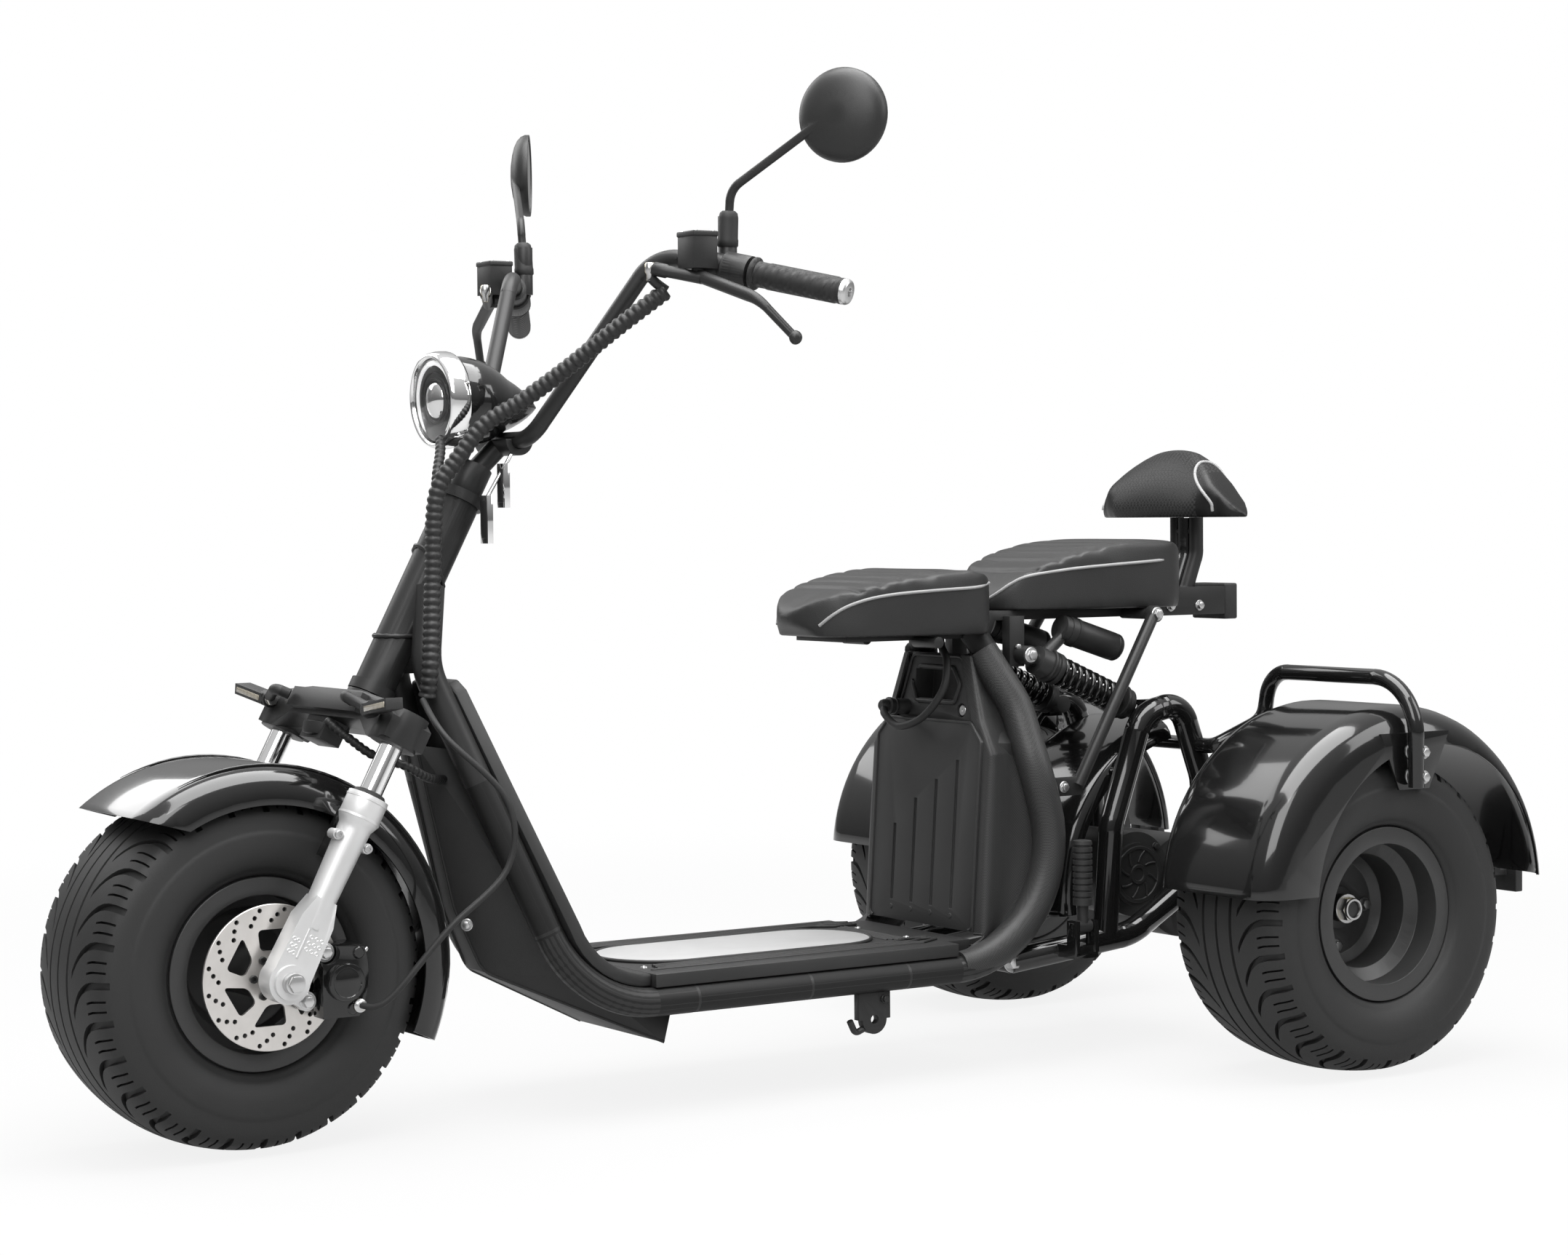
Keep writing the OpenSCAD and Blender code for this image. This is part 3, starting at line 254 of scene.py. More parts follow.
def bent(corners, bends, steps=10):
    """The middle line of a tube bent at each corner to its own radius."""
    line = [corners[0]]
    for before, corner, after, bend in zip(corners, corners[1:], corners[2:], bends):
        inward, onward = (corner - before).normalized(), (after - corner).normalized()
        angle, radius = inward.angle(onward), bend / 1000
        side = (onward - inward * inward.dot(onward)).normalized()
        centre = corner - inward * radius * math.tan(angle / 2) + side * radius
        for step in range(steps + 1):
            turn = angle * step / steps
            line.append(centre + (inward * math.sin(turn) - side * math.cos(turn)) * radius)
    return line + [corners[-1]]


def tube(bm, line, radius, swell=None, closed=False, sides=4):
    """Sweeps a round section along a line, swelling it by the given shares."""
    path = bpy.data.curves.new("path", "CURVE")
    path.dimensions, path.bevel_depth, path.bevel_resolution = "3D", radius / 1000, sides
    path.use_fill_caps = not closed
    run = path.splines.new("POLY")
    run.points.add(len(line) - 1)
    for index, place in enumerate(line):
        run.points[index].co = (*place, 1)
        run.points[index].radius = swell[index] if swell else 1.0
    run.use_cyclic_u = closed
    holder = bpy.data.objects.new("path", path)
    bm.from_mesh(holder.to_mesh())
    holder.to_mesh_clear()
    bpy.data.objects.remove(holder)
    bpy.data.curves.remove(path)


def between(line, start, end):
    """The stretch of a line from one share of its length to another."""
    reach = [0.0]
    for a, b in zip(line, line[1:]):
        reach.append(reach[-1] + (b - a).length)
    first, last = start * reach[-1], end * reach[-1]
    rows = []
    for want in [first] + [r for r in reach if first < r < last] + [last]:
        index = max(i for i, r in enumerate(reach[:-1]) if r <= want + 1e-9)
        span = reach[index + 1] - reach[index]
        rows.append(line[index].lerp(line[index + 1], (want - reach[index]) / span if span else 0))
    return rows


satin = coated("satin_black_powder", 0.014, 0.44, 0.12, 900.0, 0.0001, Specular_IOR_Level=0.35)
dress(satin, "backrest_post")
CAD_WELD = 2e-5


def eased(node, finish, width, sharp=40.0, segments=2, trim=None):
    """A CAD solid with its edges rounded and its ends trimmed, standing for the plain one."""
    bm = bmesh.new()
    bm.from_mesh(nodes[node].data)
    bmesh.ops.remove_doubles(bm, verts=bm.verts, dist=CAD_WELD)
    bmesh.ops.dissolve_limit(bm, angle_limit=math.radians(0.6), verts=bm.verts, edges=bm.edges)
    if trim:
        low, high, place, way = trim
        for side in (1, -1):
            near = [f for f in bm.faces if all(side * v.co.y > low.y and low.x < v.co.x < high.x
                                               and low.z < v.co.z < high.z for v in f.verts)]
            parts = near + list({e for f in near for e in f.edges}) + list({v for f in near for v in f.verts})
            cut = bmesh.ops.bisect_plane(bm, geom=parts, plane_co=place, plane_no=way, clear_outer=True)["geom_cut"]
            bmesh.ops.holes_fill(bm, edges=[e for e in cut if isinstance(e, bmesh.types.BMEdge)], sides=0)
    rims = [e for e in bm.edges if len(e.link_faces) == 2 and e.calc_face_angle(0) > math.radians(sharp)]
    if width:
        bmesh.ops.bevel(bm, geom=rims, offset=width / 1000, affect="EDGES", segments=segments, profile=0.5,
                        material=-1, clamp_overlap=True)
    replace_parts(build(node + "_skin", bm, body_of[node], finish, 32), node)


# trim: two corners of the box that holds the tube's end, a point of the cut and its way out
eased("main_frame", satin, 0, trim=(spot(300, 100, 355), spot(560, 0, 660), spot(332, 0, 417),
                                    Vector((0.29, 0, 0.96))))
sleeve = coated("black_tube_sleeve", 0.009, 0.5, 0.1, 900.0, 0.0001, Specular_IOR_Level=0.22)
SLEEVE_R, SEAM = 19.35, 0.0012
# shares of a tube's length at which one sleeve ends and the next begins
SLEEVE_ENDS = (0.152, 0.274, 0.416, 0.518, 0.61, 0.711, 1.0)
loops = {}
neck = steered(-FORK_OFFSET, 0, 540)
for side, name in ((1, "left_tube_sleeves"), (-1, "right_tube_sleeves")):
    corners = [neck + Vector((-0.002, side * 0.024, 0)), spot(1241, side * 48, 590), spot(1073, side * 150, 150),
               spot(251, side * 150, 150), spot(333.8, side * 150, 420), spot(338, side * 112, 510),
               spot(384, side * 61, 616)]
    middle = bent(corners, (90, 150, 170, 120, 120), 14)
    loops[side] = between(middle, 0.665, 0.981)
    bm = bmesh.new()
    for start, end in zip(SLEEVE_ENDS, SLEEVE_ENDS[1:]):
        tube(bm, between(middle, start + SEAM, end - SEAM), SLEEVE_R, sides=6)
    build(name, bm, "frame", sleeve)

HEAD_R = 27.5
bm = bmesh.new()
for height, tilt in ((566, 20), (470, -14)):
    ring = []
    for step in range(25):
        turn = math.radians(-150 + step * 12.5)
        ring.append(steered(-FORK_OFFSET + HEAD_R * math.cos(turn), HEAD_R * math.sin(turn),
                            height + tilt * math.cos(turn)))
    tube(bm, ring, 3.2, [0.8 + 0.3 * (step % 2) for step in range(25)])
build("neck_welds", bm, "frame", satin, 60)

# Deck, leg shield and belly pan: black mouldings with a fine leather grain,
# screwed to the tubes, their edges rounded as they leave the mould.
moulded = Finish("grained_black_moulding")
moulded.shade(Base_Color=moulded.mix(moulded.noise(9.0), grey(0.014), grey(0.024)), Specular_IOR_Level=0.35,
              Roughness=0.46 + moulded.noise(14.0) * 0.14, Normal=moulded.bump(moulded.cells(620.0), 0.00022, 0.6))
for node, width in (("deck_moulding", 3.0), ("leg_shield", 4.0), ("belly_pan", 5.0)):
    eased(node, moulded, width)

silvered = Finish("deck_plate_silver")
silvered.shade(Base_Color=silvered.mix(silvered.noise(20.0), grey(0.41), grey(0.48)), Metallic=0.5,
               Roughness=0.4 + silvered.noise(30.0) * 0.1, Normal=silvered.bump(silvered.noise(700.0), 0.0001))
eased("deck_plate", silvered, 1.2)


def around(point, direction):
    """A matrix that stands at a point with its Z axis along a direction."""
    z = Vector(direction).normalized()
    lean = Vector((0, 0, 1)) if abs(z.z) < 0.9 else Vector((1, 0, 0))
    x = (lean - z * lean.dot(z)).normalized()
    seat = Matrix((x, z.cross(x), z)).transposed().to_4x4()
    seat.translation = point
    return seat


def turned(bm, point, direction, profile, steps=28):
    """Spins a profile of radius and height about an axis, as on a lathe."""
    seat = around(point, direction)
    rows = [bm.verts.new(seat @ Vector((r / 1000, 0, h / 1000))) for r, h in profile]
    edges = [bm.edges.new(pair) for pair in zip(rows, rows[1:])]
    bmesh.ops.spin(bm, geom=rows + edges, cent=seat.translation, axis=seat.col[2].to_3d(), angle=math.tau,
                   steps=steps, use_merge=True)


def bolt(bm, point, direction, across, tall, washer=0.0):
    """A hexagon head on a washer."""
    if washer:
        turned(bm, point, direction, [(0, -1), (washer, -1), (washer, 1.0), (washer - 0.7, 1.6), (0, 1.6)], 24)
    seat = around(point, direction) @ Matrix.Translation((0, 0, (1.2 + tall / 2) / 1000))
    head = bmesh.ops.create_cone(bm, cap_ends=True, segments=6, radius1=across / 1732, radius2=across / 1732,
                                 depth=tall / 1000, matrix=seat)["verts"]
    top = [v for v in head if (seat.inverted() @ v.co).z > 0]
    rim = [e for e in {e for v in top for e in v.link_edges} if all(v in top for v in e.verts)]
    bmesh.ops.bevel(bm, geom=rim, offset=across / 14000, affect="EDGES", segments=2, profile=0.5, material=-1)


def socket_screw(bm, point, direction, radius, tall):
    """A round head with a key socket."""
    turned(bm, point, direction,
           [(0, tall - 2.4), (radius * 0.5, tall - 2.4), (radius * 0.5, tall), (radius - 0.6, tall),
            (radius, tall - 0.7), (radius, -0.6), (0, -0.6)], 24)


zinc = coated("zinc_plate", 0.55, 0.3, 0.12, 300.0, 0.00003, Metallic=0.95)
bm = bmesh.new()
for x, y in ((500, 60), (500, -60), (950, 96), (950, -96)):
    turned(bm, spot(x, y, 187.0), (0, 0, 1),
           [(0, 1.4), (2, 1.4), (2.4, 2.0), (4.6, 1.5), (5.4, 0), (5.4, -1), (0, -1)], 20)
for side in (1, -1):
    bolt(bm, spot(1189, side * 53, 258), (0.62, side * 0.78, 0.05), 9, 5, 8)
build("deck_screws", bm, "frame", zinc)

bm = bmesh.new()
oval = [spot(748 + 122 * e + 88 * math.sin(math.radians(a)) * e, 88 * math.cos(math.radians(a)) * e, 189.2)
        for e in (1, -1) for a in range(0, 181, 10)]
tube(bm, oval, 2.6, closed=True)
for number in range(5):
    lead = spot(508 + number * 7, -86 + number * 4, 187.4)
    tube(bm, [lead, lead + Vector((0.004, 0.172 - number * 0.008, 0))], 1.7)
for side in (1, -1):
    for number, y in enumerate((101, 113.5, 126)):
        rib = bent([spot(940 + number * 4, side * y, 189), spot(548 - number * 16, side * y, 189),
                    spot(520 - number * 16, side * (y - 16), 189), spot(486, side * (y - 16), 189)], (12, 12), 5)
        tube(bm, rib, 2.3)
build("deck_ribs", bm, "frame", moulded)

bm = bmesh.new()
for side in (1, -1):
    rim = [spot(1239, side * 15, 490), spot(1189, side * 18, 276), spot(1151, side * 22, 191),
           spot(930, side * 112, 89)]
    tube(bm, bent(rim, (80, 40), 6), 2.2)
build("belly_rim", bm, "frame", moulded)
eased("stand_bracket", satin, 1.2)
bm = bmesh.new()
bolt(bm, spot(606, 157, 122), (0, 1, 0), 8, 4, 6)
tube(bm, bent([spot(634, 150, 84), spot(652, 152, 78), spot(662, 154, 96)], (8,), 5), 4.5)
build("stand_hook", bm, "frame", satin)

# Battery: a moulded pack with a grooved front, a hand hole, a lock and a
# ribbed plug with its lead, in a housing that flares out to the tubes.
eased("battery_pack", moulded, 2.2)
woven = Finish("weave_grained_moulding")
weave = woven.node("TexChecker", None, {"Vector": woven.place, "Scale": 520.0}, "Fac")
woven.shade(Base_Color=woven.mix(weave, grey(0.014), grey(0.03)), Roughness=0.42 + weave * 0.12,
            Specular_IOR_Level=0.4, Normal=woven.bump(weave, 0.0002, 0.5))

LEAN = math.radians(4)
PANEL_X, PANEL_Z = 435.0, 187.6


def on_panel(out, y, up):
    """A point on the leaning front of the battery."""
    return spot(PANEL_X + out * math.cos(LEAN) - up * math.sin(LEAN), y,
                PANEL_Z + up * math.cos(LEAN) + out * math.sin(LEAN))

def panel_edge(up):
    """Half the width of the battery's front at a height: straight, a cut corner, then a tapered head."""
    if up < 274:
        return 127.0
    return 127 - (up - 274) * 1.1 if up < 300 else 98.4 - (up - 300) * 0.36


def smooth_line(points, steps=8):
    """A smooth line through the points."""
    line = []
    for index in range(len(points) - 1):
        a, b = points[max(index - 1, 0)], points[index]
        c, d = points[index + 1], points[min(index + 2, len(points) - 1)]
        for step in range(steps):
            t = step / steps
            line.append(0.5 * (2 * b + (c - a) * t + (2 * a - 5 * b + 4 * c - d) * t ** 2
                               + (3 * b - a - 3 * c + d) * t ** 3))
    return line + [points[-1]]


panel_out = (math.cos(LEAN), 0, math.sin(LEAN))
for side, hand in ((1, "left"), (-1, "right")):
    run = loops[side]
    band, wall, chains, shifted = bmesh.new(), bmesh.new(), [], []
    for index, place in enumerate(run):
        way = (run[min(index + 1, len(run) - 1)] - run[max(index - 1, 0)]).normalized()
        inward = spot(430, place.y * 1000, 372) - place
        inward = (inward - way * inward.dot(way)).normalized()
        shifted.append(place + inward * 0.005)
        up = max(4.0, min(394.0, (place.z * 1000 - PANEL_Z) / math.cos(LEAN)))
        rim = on_panel(-2.5, side * panel_edge(up), up)
        flange = on_panel(-9.0, side * (panel_edge(up) + 17), up)
        hollow = flange.lerp(place, 0.45) - Vector((0, side * 0.014, 0))
        foot = place + inward * 0.018 - Vector((0, side * 0.012, 0))
        chain = [wall.verts.new(p) for p in smooth_line([rim, flange, hollow, foot], 4)]
        chains.append([wall.edges.new(pair) for pair in zip(chain, chain[1:])])
    for first, second in zip(chains, chains[1:]):
        bmesh.ops.bridge_loops(wall, edges=first + second)
    bmesh.ops.recalc_face_normals(wall, faces=wall.faces)
    bmesh.ops.solidify(wall, geom=wall.faces, thickness=0.003)
    tube(band, shifted, 24.0, [min(1.0, 0.8 + 0.05 * i) for i in range(len(shifted))], sides=7)
    piece = build("battery_housing_" + hand, wall, "frame", woven, 60)
    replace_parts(piece, "battery_surround")
    build("loop_cover_" + hand, band, "frame", woven, 60)
bm = bmesh.new()
corners = [(-126, 10), (126, 10), (126, 274), (100, 300), (-100, 300), (-126, 274)]
edge = [on_panel(-0.5, y * 0.985, up) for y, up in corners]
tube(bm, bent(edge + edge[:2], (8, 8, 8, 8, 8, 8), 4)[1:-1], 2.0)
grip = [on_panel(-9.5, y, up)
        for y, up in ((-58, 352), (-40, 376), (40, 376), (58, 352), (46, 326), (-46, 326))]
tube(bm, bent(grip + grip[:2], (6, 6, 6, 6, 6, 6), 4)[1:-1], 3.2)
head = [on_panel(-9.5, y, up) for y, up in ((-92, 302), (-60, 392), (60, 392), (92, 302))]
tube(bm, bent(head, (12, 12), 5), 2.4)
for y in (-72, -24, 24, 72):
    turned(bm, on_panel(-0.4, y, 26), panel_out, [(0, 1.2), (3.2, 1.2), (4.2, 0.2), (4.2, -1), (0, -1)], 16)
turned(bm, on_panel(13.6, -70, 316), panel_out,
       [(0, -2), (12, -2), (12.6, 1), (11, 2), (11, 6), (12.4, 7), (12.4, 10), (9.5, 12), (9.5, 17), (8, 22),
        (6, 24), (0, 24)])
build("battery_trim", bm, "frame", moulded)
bm = bmesh.new()
turned(bm, on_panel(-22, 62, 316), panel_out, [(0, 9), (2, 9), (2, 10), (7, 10), (8.6, 8), (8.6, 0), (0, 0)])
build("battery_lock", bm, "frame", zinc)

rubber = coated("black_rubber", 0.014, 0.6, 0.1, 500.0, 0.0001, Specular_IOR_Level=0.35)
bm = bmesh.new()
lead = [spot(*p) for p in ((427.3, -70, 503.8), (440, -69, 504), (453, -56, 494), (453, -20, 478), (446, 30, 494),
                           (434, 62, 534), (422, 54, 572), (414, 32, 590), (412, 26, 601.4))]
tube(bm, smooth_line(lead, 10), 5.5)
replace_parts(build("battery_lead_cord", bm, "frame", rubber), "battery_lead")

# Saddles and backrest: foam under black vinyl, sewn across in channels, with
# grey piping on the seams. The cover fits tight, so the foam swells it out.
vinyl = Finish("black_vinyl")
vinyl.shade(Base_Color=vinyl.mix(vinyl.noise(8.0), grey(0.011), grey(0.019)), Specular_IOR_Level=0.4,
            Roughness=0.4 + vinyl.noise(16.0) * 0.12, Normal=vinyl.bump(vinyl.cells(420.0), 0.0003, 0.7))
gloss = coated("gloss_black_paint", 0.006, 0.13, 0.06, 160.0, 0.00001, Specular_IOR_Level=0.25, Coat_Weight=0.6,
               Coat_Roughness=0.05)
piping = coated("grey_piping", 0.24, 0.5, 0.1, 600.0, 0.0002)
VOXEL, INSET, BASE_DEEP = 0.005, 0.004, 0.003
SWELL_FRAMES, SWELL_CAP = 20, 0.006


def baked(piece):
    """The mesh of a piece as its modifiers leave it."""
    return bpy.data.meshes.new_from_object(piece.evaluated_get(bpy.context.evaluated_depsgraph_get()))


def relax(bm, floor, base=False):
    """One round of smoothing above the flat base, or of the base in its own plane."""
    verts = [v for v in bm.verts if (v.co.z <= floor + BASE_DEEP) == base]
    bmesh.ops.smooth_vert(bm, verts=verts, factor=0.5, use_axis_x=True, use_axis_y=True, use_axis_z=not base)


def blown_cover(node, name):
    """A copy of a pad's solid, remeshed fine and blown tight, with its base held flat."""
    bm = bmesh.new()
    bm.from_mesh(nodes[node].data)
    bmesh.ops.remove_doubles(bm, verts=bm.verts, dist=CAD_WELD)
    pad = placed(name + "_pattern", bm)
    fine = pad.modifiers.new("even", "REMESH")
    fine.mode, fine.voxel_size = "VOXEL", VOXEL
    mesh = baked(pad)
    pad.modifiers.clear()
    bm = bmesh.new()
    bm.from_mesh(mesh)
    floor = min(v.co.z for v in bm.verts)
    for _ in range(3):
        relax(bm, floor)
    for vert in bm.verts:
        inward = vert.normal * INSET
        vert.co -= inward if vert.co.z > floor + BASE_DEEP else Vector((inward.x * 2, inward.y * 2, 0))
    bm.to_mesh(mesh)
    bm.free()
    pad.data = mesh
    start = [v.co.copy() for v in mesh.vertices]
    base = pad.vertex_groups.new(name="base")
    base.add([v.index for v in mesh.vertices if v.co.z < floor + BASE_DEEP * 2], 1.0, "REPLACE")
    cloth = pad.modifiers.new("blown", "CLOTH")
    cloth.settings.use_pressure, cloth.settings.uniform_pressure_force = True, 4.0
    cloth.settings.effector_weights.gravity = 0.0
    cloth.settings.tension_stiffness = cloth.settings.compression_stiffness = 40.0
    cloth.settings.bending_stiffness = 20.0
    cloth.settings.vertex_group_mass = "base"
    for step in range(1, SWELL_FRAMES + 1):
        bpy.context.scene.frame_set(step)
    blown = baked(pad)
    pad.modifiers.clear()
    for vert, old, new in zip(mesh.vertices, start, blown.vertices):
        shift = new.co - old
        vert.co = old + shift * min(1.0, SWELL_CAP / max(shift.length, 1e-9))
    bpy.data.meshes.remove(blown)
    bpy.context.scene.frame_set(1)
    bm = bmesh.new()
    bm.from_mesh(mesh)
    bpy.data.objects.remove(pad)
    for _ in range(9):
        relax(bm, floor)
        relax(bm, floor, base=True)
    bmesh.ops.subdivide_edges(bm, edges=bm.edges, cuts=1, use_grid_fill=True)
    for _ in range(2):
        relax(bm, floor)
    bm.normal_update()
    return bm


STITCH_DEEP, STITCH_HALF, STITCH_BOW, TOP_FROM = 0.0042, 4.6, 0.000004, 0.15


def sew_channels(bm, low, high, pitch, half_width):
    """Presses the sewn lines into the top of a pad."""
    first, last = spot(low, 0, 0).x, spot(high, 0, 0).x
    for vert in bm.verts:
        if not first - 0.01 < vert.co.x < last + 0.01 or vert.normal.z < TOP_FROM:
            continue
        bend = STITCH_BOW * (vert.co.y * 1000) ** 2 / 4
        number = round((vert.co.x + bend - first) / pitch * 1000)
        if not 0 <= number <= round((last - first) / pitch * 1000):
            continue
        gap = (vert.co.x + bend - first) * 1000 - number * pitch
        fade = max(0.0, min(1.0, (half_width - abs(vert.co.y) * 1000) / 18))
        fade *= min(1.0, (vert.normal.z - TOP_FROM) * 3)
        vert.co -= vert.normal * STITCH_DEEP * math.exp(-(gap / STITCH_HALF) ** 2) * fade
    bm.normal_update()


DRAWN_OVER, ROUND_OVER, FLARE, ROUNDING = 0.15, 0.07, 0.05, 0.75


def drawn(place, back, whole, reach):
    """A point of a saddle cover after its back is drawn out and rounded in plan."""
    share = max(0.0, 1 - (place.x - back) / DRAWN_OVER)
    corner = max(0.0, 1 - (place.x - back) / ROUND_OVER)
    return Vector((place.x - whole - reach * share,
                   place.y * (1 + FLARE * share) * math.sqrt(1 - ROUNDING * corner ** 2.6), place.z))


def lay_piping(name, tree, rows, radius, node, settle):
    """A cord sewn into the seam, laid on both sides of the cover."""
    bm = bmesh.new()
    for side in (1, -1):
        seam = []
        for x, z in rows:
            start = spot(x, side * 300, z)
            place, normal, _, _ = tree.ray_cast(start, Vector((0, -side, 0)))
            if place:
                seam.append(settle(place + normal * 0.0002))
        tube(bm, smooth_line(seam, 6), radius)
    return build(name, bm, body_of[node], piping, 70)


# columns: node, piece, first and last channel, their pitch, how far the cover and its back are drawn, side seam
SADDLES = [("front_seat", "front_saddle", 404, 600, 28.0, (0.0, 0.028),
            ((646, 617), (638, 628), (626, 642), (608, 655), (580, 665), (542, 671), (490, 675), (437, 678),
             (407, 683), (390, 690))),
           ("rear_seat", "rear_saddle", 62, 312, 31.0, (0.018, 0.02),
            ((352, 656), (344, 668), (332, 680), (312, 691), (254, 700), (191, 705), (115, 710), (60, 714),
             (42, 711)))]
CHANNEL_HALF = 108
for node, name, low, high, pitch, (whole, reach), seam in SADDLES:
    bm = blown_cover(node, name)
    sew_channels(bm, low, high, pitch, CHANNEL_HALF)
    cover = BVHTree.FromBMesh(bm)
    back = min(v.co.x for v in bm.verts)
    for vert in bm.verts:
        vert.co = drawn(vert.co, back, whole, reach)
    bm.normal_update()
    saddle = build(name, bm, body_of[node], vinyl, 80)
    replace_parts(saddle, node)
    lay_piping(name + "_piping", cover, seam, 2.3, node, lambda place: drawn(place, back, whole, reach))

carbon = Finish("woven_and_plain_vinyl")
across = carbon.node("SeparateXYZ", None, {"Vector": carbon.place}, "Y")
woven_part = 1 - across.math("ABSOLUTE", across).above(0.096)
strands = carbon.node("TexChecker", None, {"Vector": carbon.place, "Scale": 260.0}, "Fac") * woven_part
carbon.shade(Base_Color=carbon.mix(strands, grey(0.006), grey(0.016)), Roughness=0.36 + strands * 0.16,
             Specular_IOR_Level=0.26, Normal=carbon.bump(strands + carbon.cells(420.0) * 0.3, 0.0003, 0.6))
bm = blown_cover("backrest_pad", "backrest_cover")
low, half = min(v.co.z for v in bm.verts), max(v.co.y for v in bm.verts)
back, front = min(v.co.x for v in bm.verts), max(v.co.x for v in bm.verts)
FORWARD, WIDER, TALLER, DOME = 0.02, 1.11, 1.12, 0.5
for vert in bm.verts:
    share = abs(vert.co.y) / half
    vert.co.x += FORWARD * max(share, (vert.co.x - back) / (front - back))
    vert.co.y *= WIDER
    vert.co.z = low + (vert.co.z - low) * TALLER * (1 - DOME * share * share)
for _ in range(8):
    relax(bm, low)
bm.normal_update()
cover = BVHTree.FromBMesh(bm)
backrest = build("backrest_cover", bm, body_of["backrest_pad"], carbon, 80)
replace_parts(backrest, "backrest_pad")
bm = bmesh.new()
for foot, rise in ((122, 50), (-144, 0)):
    seam = []
    for angle in range(-14, 195, 8):
        out = Vector((math.cos(math.radians(angle)), 0, math.sin(math.radians(angle))))
        middle_of_pad = spot(-34, foot - rise * max(0.0, out.z) ** 3, 786)
        place, normal, _, _ = cover.ray_cast(middle_of_pad + out * 0.3, -out)
        if place and place.z > spot(0, 0, 774).z:
            seam.append(place + normal * 0.0003)
    tube(bm, smooth_line(seam, 6), 2.4)
build("backrest_piping", bm, body_of["backrest_pad"], piping, 70)

eased("seat_frame", satin, 1.6)
bm = bmesh.new()
tube(bm, bent([spot(-6, 0, 650), spot(-44, 0, 654), spot(-68, 0, 716), spot(-68, 0, 771)], (24, 40), 8), 13.0)
build("backrest_post_web", bm, "frame", gloss)
bm = bmesh.new()
for side in (1, -1):
    for x, z in ((28, 634), (-4, 640), (-60, 640)):
        bolt(bm, spot(x, side * 38, z), (0, side, 0), 10, 5, 8)
    for x, z in ((300, 590), (300, 574)):
        bolt(bm, spot(x + 15, side * 78, z), (0, side, 0), 8, 4)
build("seat_bolts", bm, "frame", zinc)

# Tail lamp and reflectors: red plastic lenses moulded with small prisms, each
# clipped into a black housing on the seat frame or on a mudguard's back.
red_lens = Finish("red_lens")
prisms = red_lens.node("TexChecker", None, {"Vector": red_lens.place, "Scale": 330.0}, "Fac")
red_lens.shade(Base_Color=red_lens.mix(prisms, (0.24, 0.006, 0.006, 1), (0.42, 0.018, 0.014, 1)), Roughness=0.14,
               Coat_Weight=1.0, Normal=red_lens.bump(prisms, 0.0004, 0.5))
eased("tail_lamp", moulded, 3.0, segments=3)
eased("rear_reflectors", moulded, 1.6)


def lens(bm, low, high, round_off):
    """A lens plate with rounded edges between two corners."""
    block = Matrix.Translation((low + high) / 2) @ Matrix.Diagonal((*(high - low), 1))
    shape = bmesh.ops.create_cube(bm, size=1.0, matrix=block)
    rim = {e for v in shape["verts"] for e in v.link_edges}
    bmesh.ops.bevel(bm, geom=list(rim), offset=round_off / 1000, affect="EDGES", segments=3, profile=0.5, material=-1,
                    clamp_overlap=True)


TRACK_HALF = 400
bm = bmesh.new()
lens(bm, spot(-136.6, -33, 622), spot(-132, 33, 668), 2.0)
for side in (1, -1):
    lens(bm, spot(-334.4, side * TRACK_HALF - 26, 230), spot(-331, side * TRACK_HALF + 26, 262), 1.5)
build("rear_lenses", bm, "frame", red_lens)

# Rear suspension: a damper inside a black coil on each side, with an adjuster
# ring and a gas can clamped beside it, on zinc plated bolts.
eased("shock_absorbers", satin, 1.0, 50)
eased("seat_struts", satin, 1.0, 50)
SPRING_R, WIRE_R, TURNS, TURN_STEPS, FROM, TO_END = 19.0, 3.6, 9, 20, 40.0, 62.0
coils, rings, hardware = bmesh.new(), bmesh.new(), bmesh.new()
for side in (1, -1):
    foot, top = spot(108, side * 90, 493), spot(309, side * 90, 579)
    along = (top - foot).normalized()
    reach = (top - foot).length * 1000
    seat = around(foot, along)
    helix = []
    for step in range(TURNS * TURN_STEPS + 1):
        turn = math.tau * step / TURN_STEPS
        height = FROM + (reach - TO_END - FROM) * step / (TURNS * TURN_STEPS)
        helix.append(seat @ (Vector((SPRING_R * math.cos(turn), side * SPRING_R * math.sin(turn), height)) / 1000))
    tube(coils, helix, WIRE_R, sides=3)
    turned(rings, foot + along * 0.030, along,
           [(10, 0), (20.6, 0), (25, 0), (25.6, 1), (25.6, 5), (25, 6), (20.6, 6), (10, 6)], 40)
    turned(rings, foot + along * (reach - 44) / 1000, along,
           [(20, 0), (24.4, 0), (25, 1), (25, 4), (24.4, 5), (20, 5)], 40)
    can_foot = spot(142, side * 86, 584)
    can = (spot(244, side * 86, 616) - can_foot).normalized()
    turned(rings, can_foot, -can,
           [(19.4, -8), (20.2, -7), (20.2, -1), (18.6, 1.5), (11, 2), (10, 0.6), (0, 0.6)], 40)
    turned(rings, spot(220, side * 86, 608.5), can, [(19, -3), (21.6, -3), (21.6, 3), (19, 3)], 40)
    for place in (foot, top):
        bolt(hardware, place + Vector((0, side * 0.0122, 0)), (0, side, 0), 13, 6, 11)
shock_coils = build("shock_coils", coils, body_of["shock_springs"], gloss, 70)
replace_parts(shock_coils, "shock_springs")
build("shock_rings", rings, "frame", satin)
build("shock_bolts", hardware, "frame", zinc)

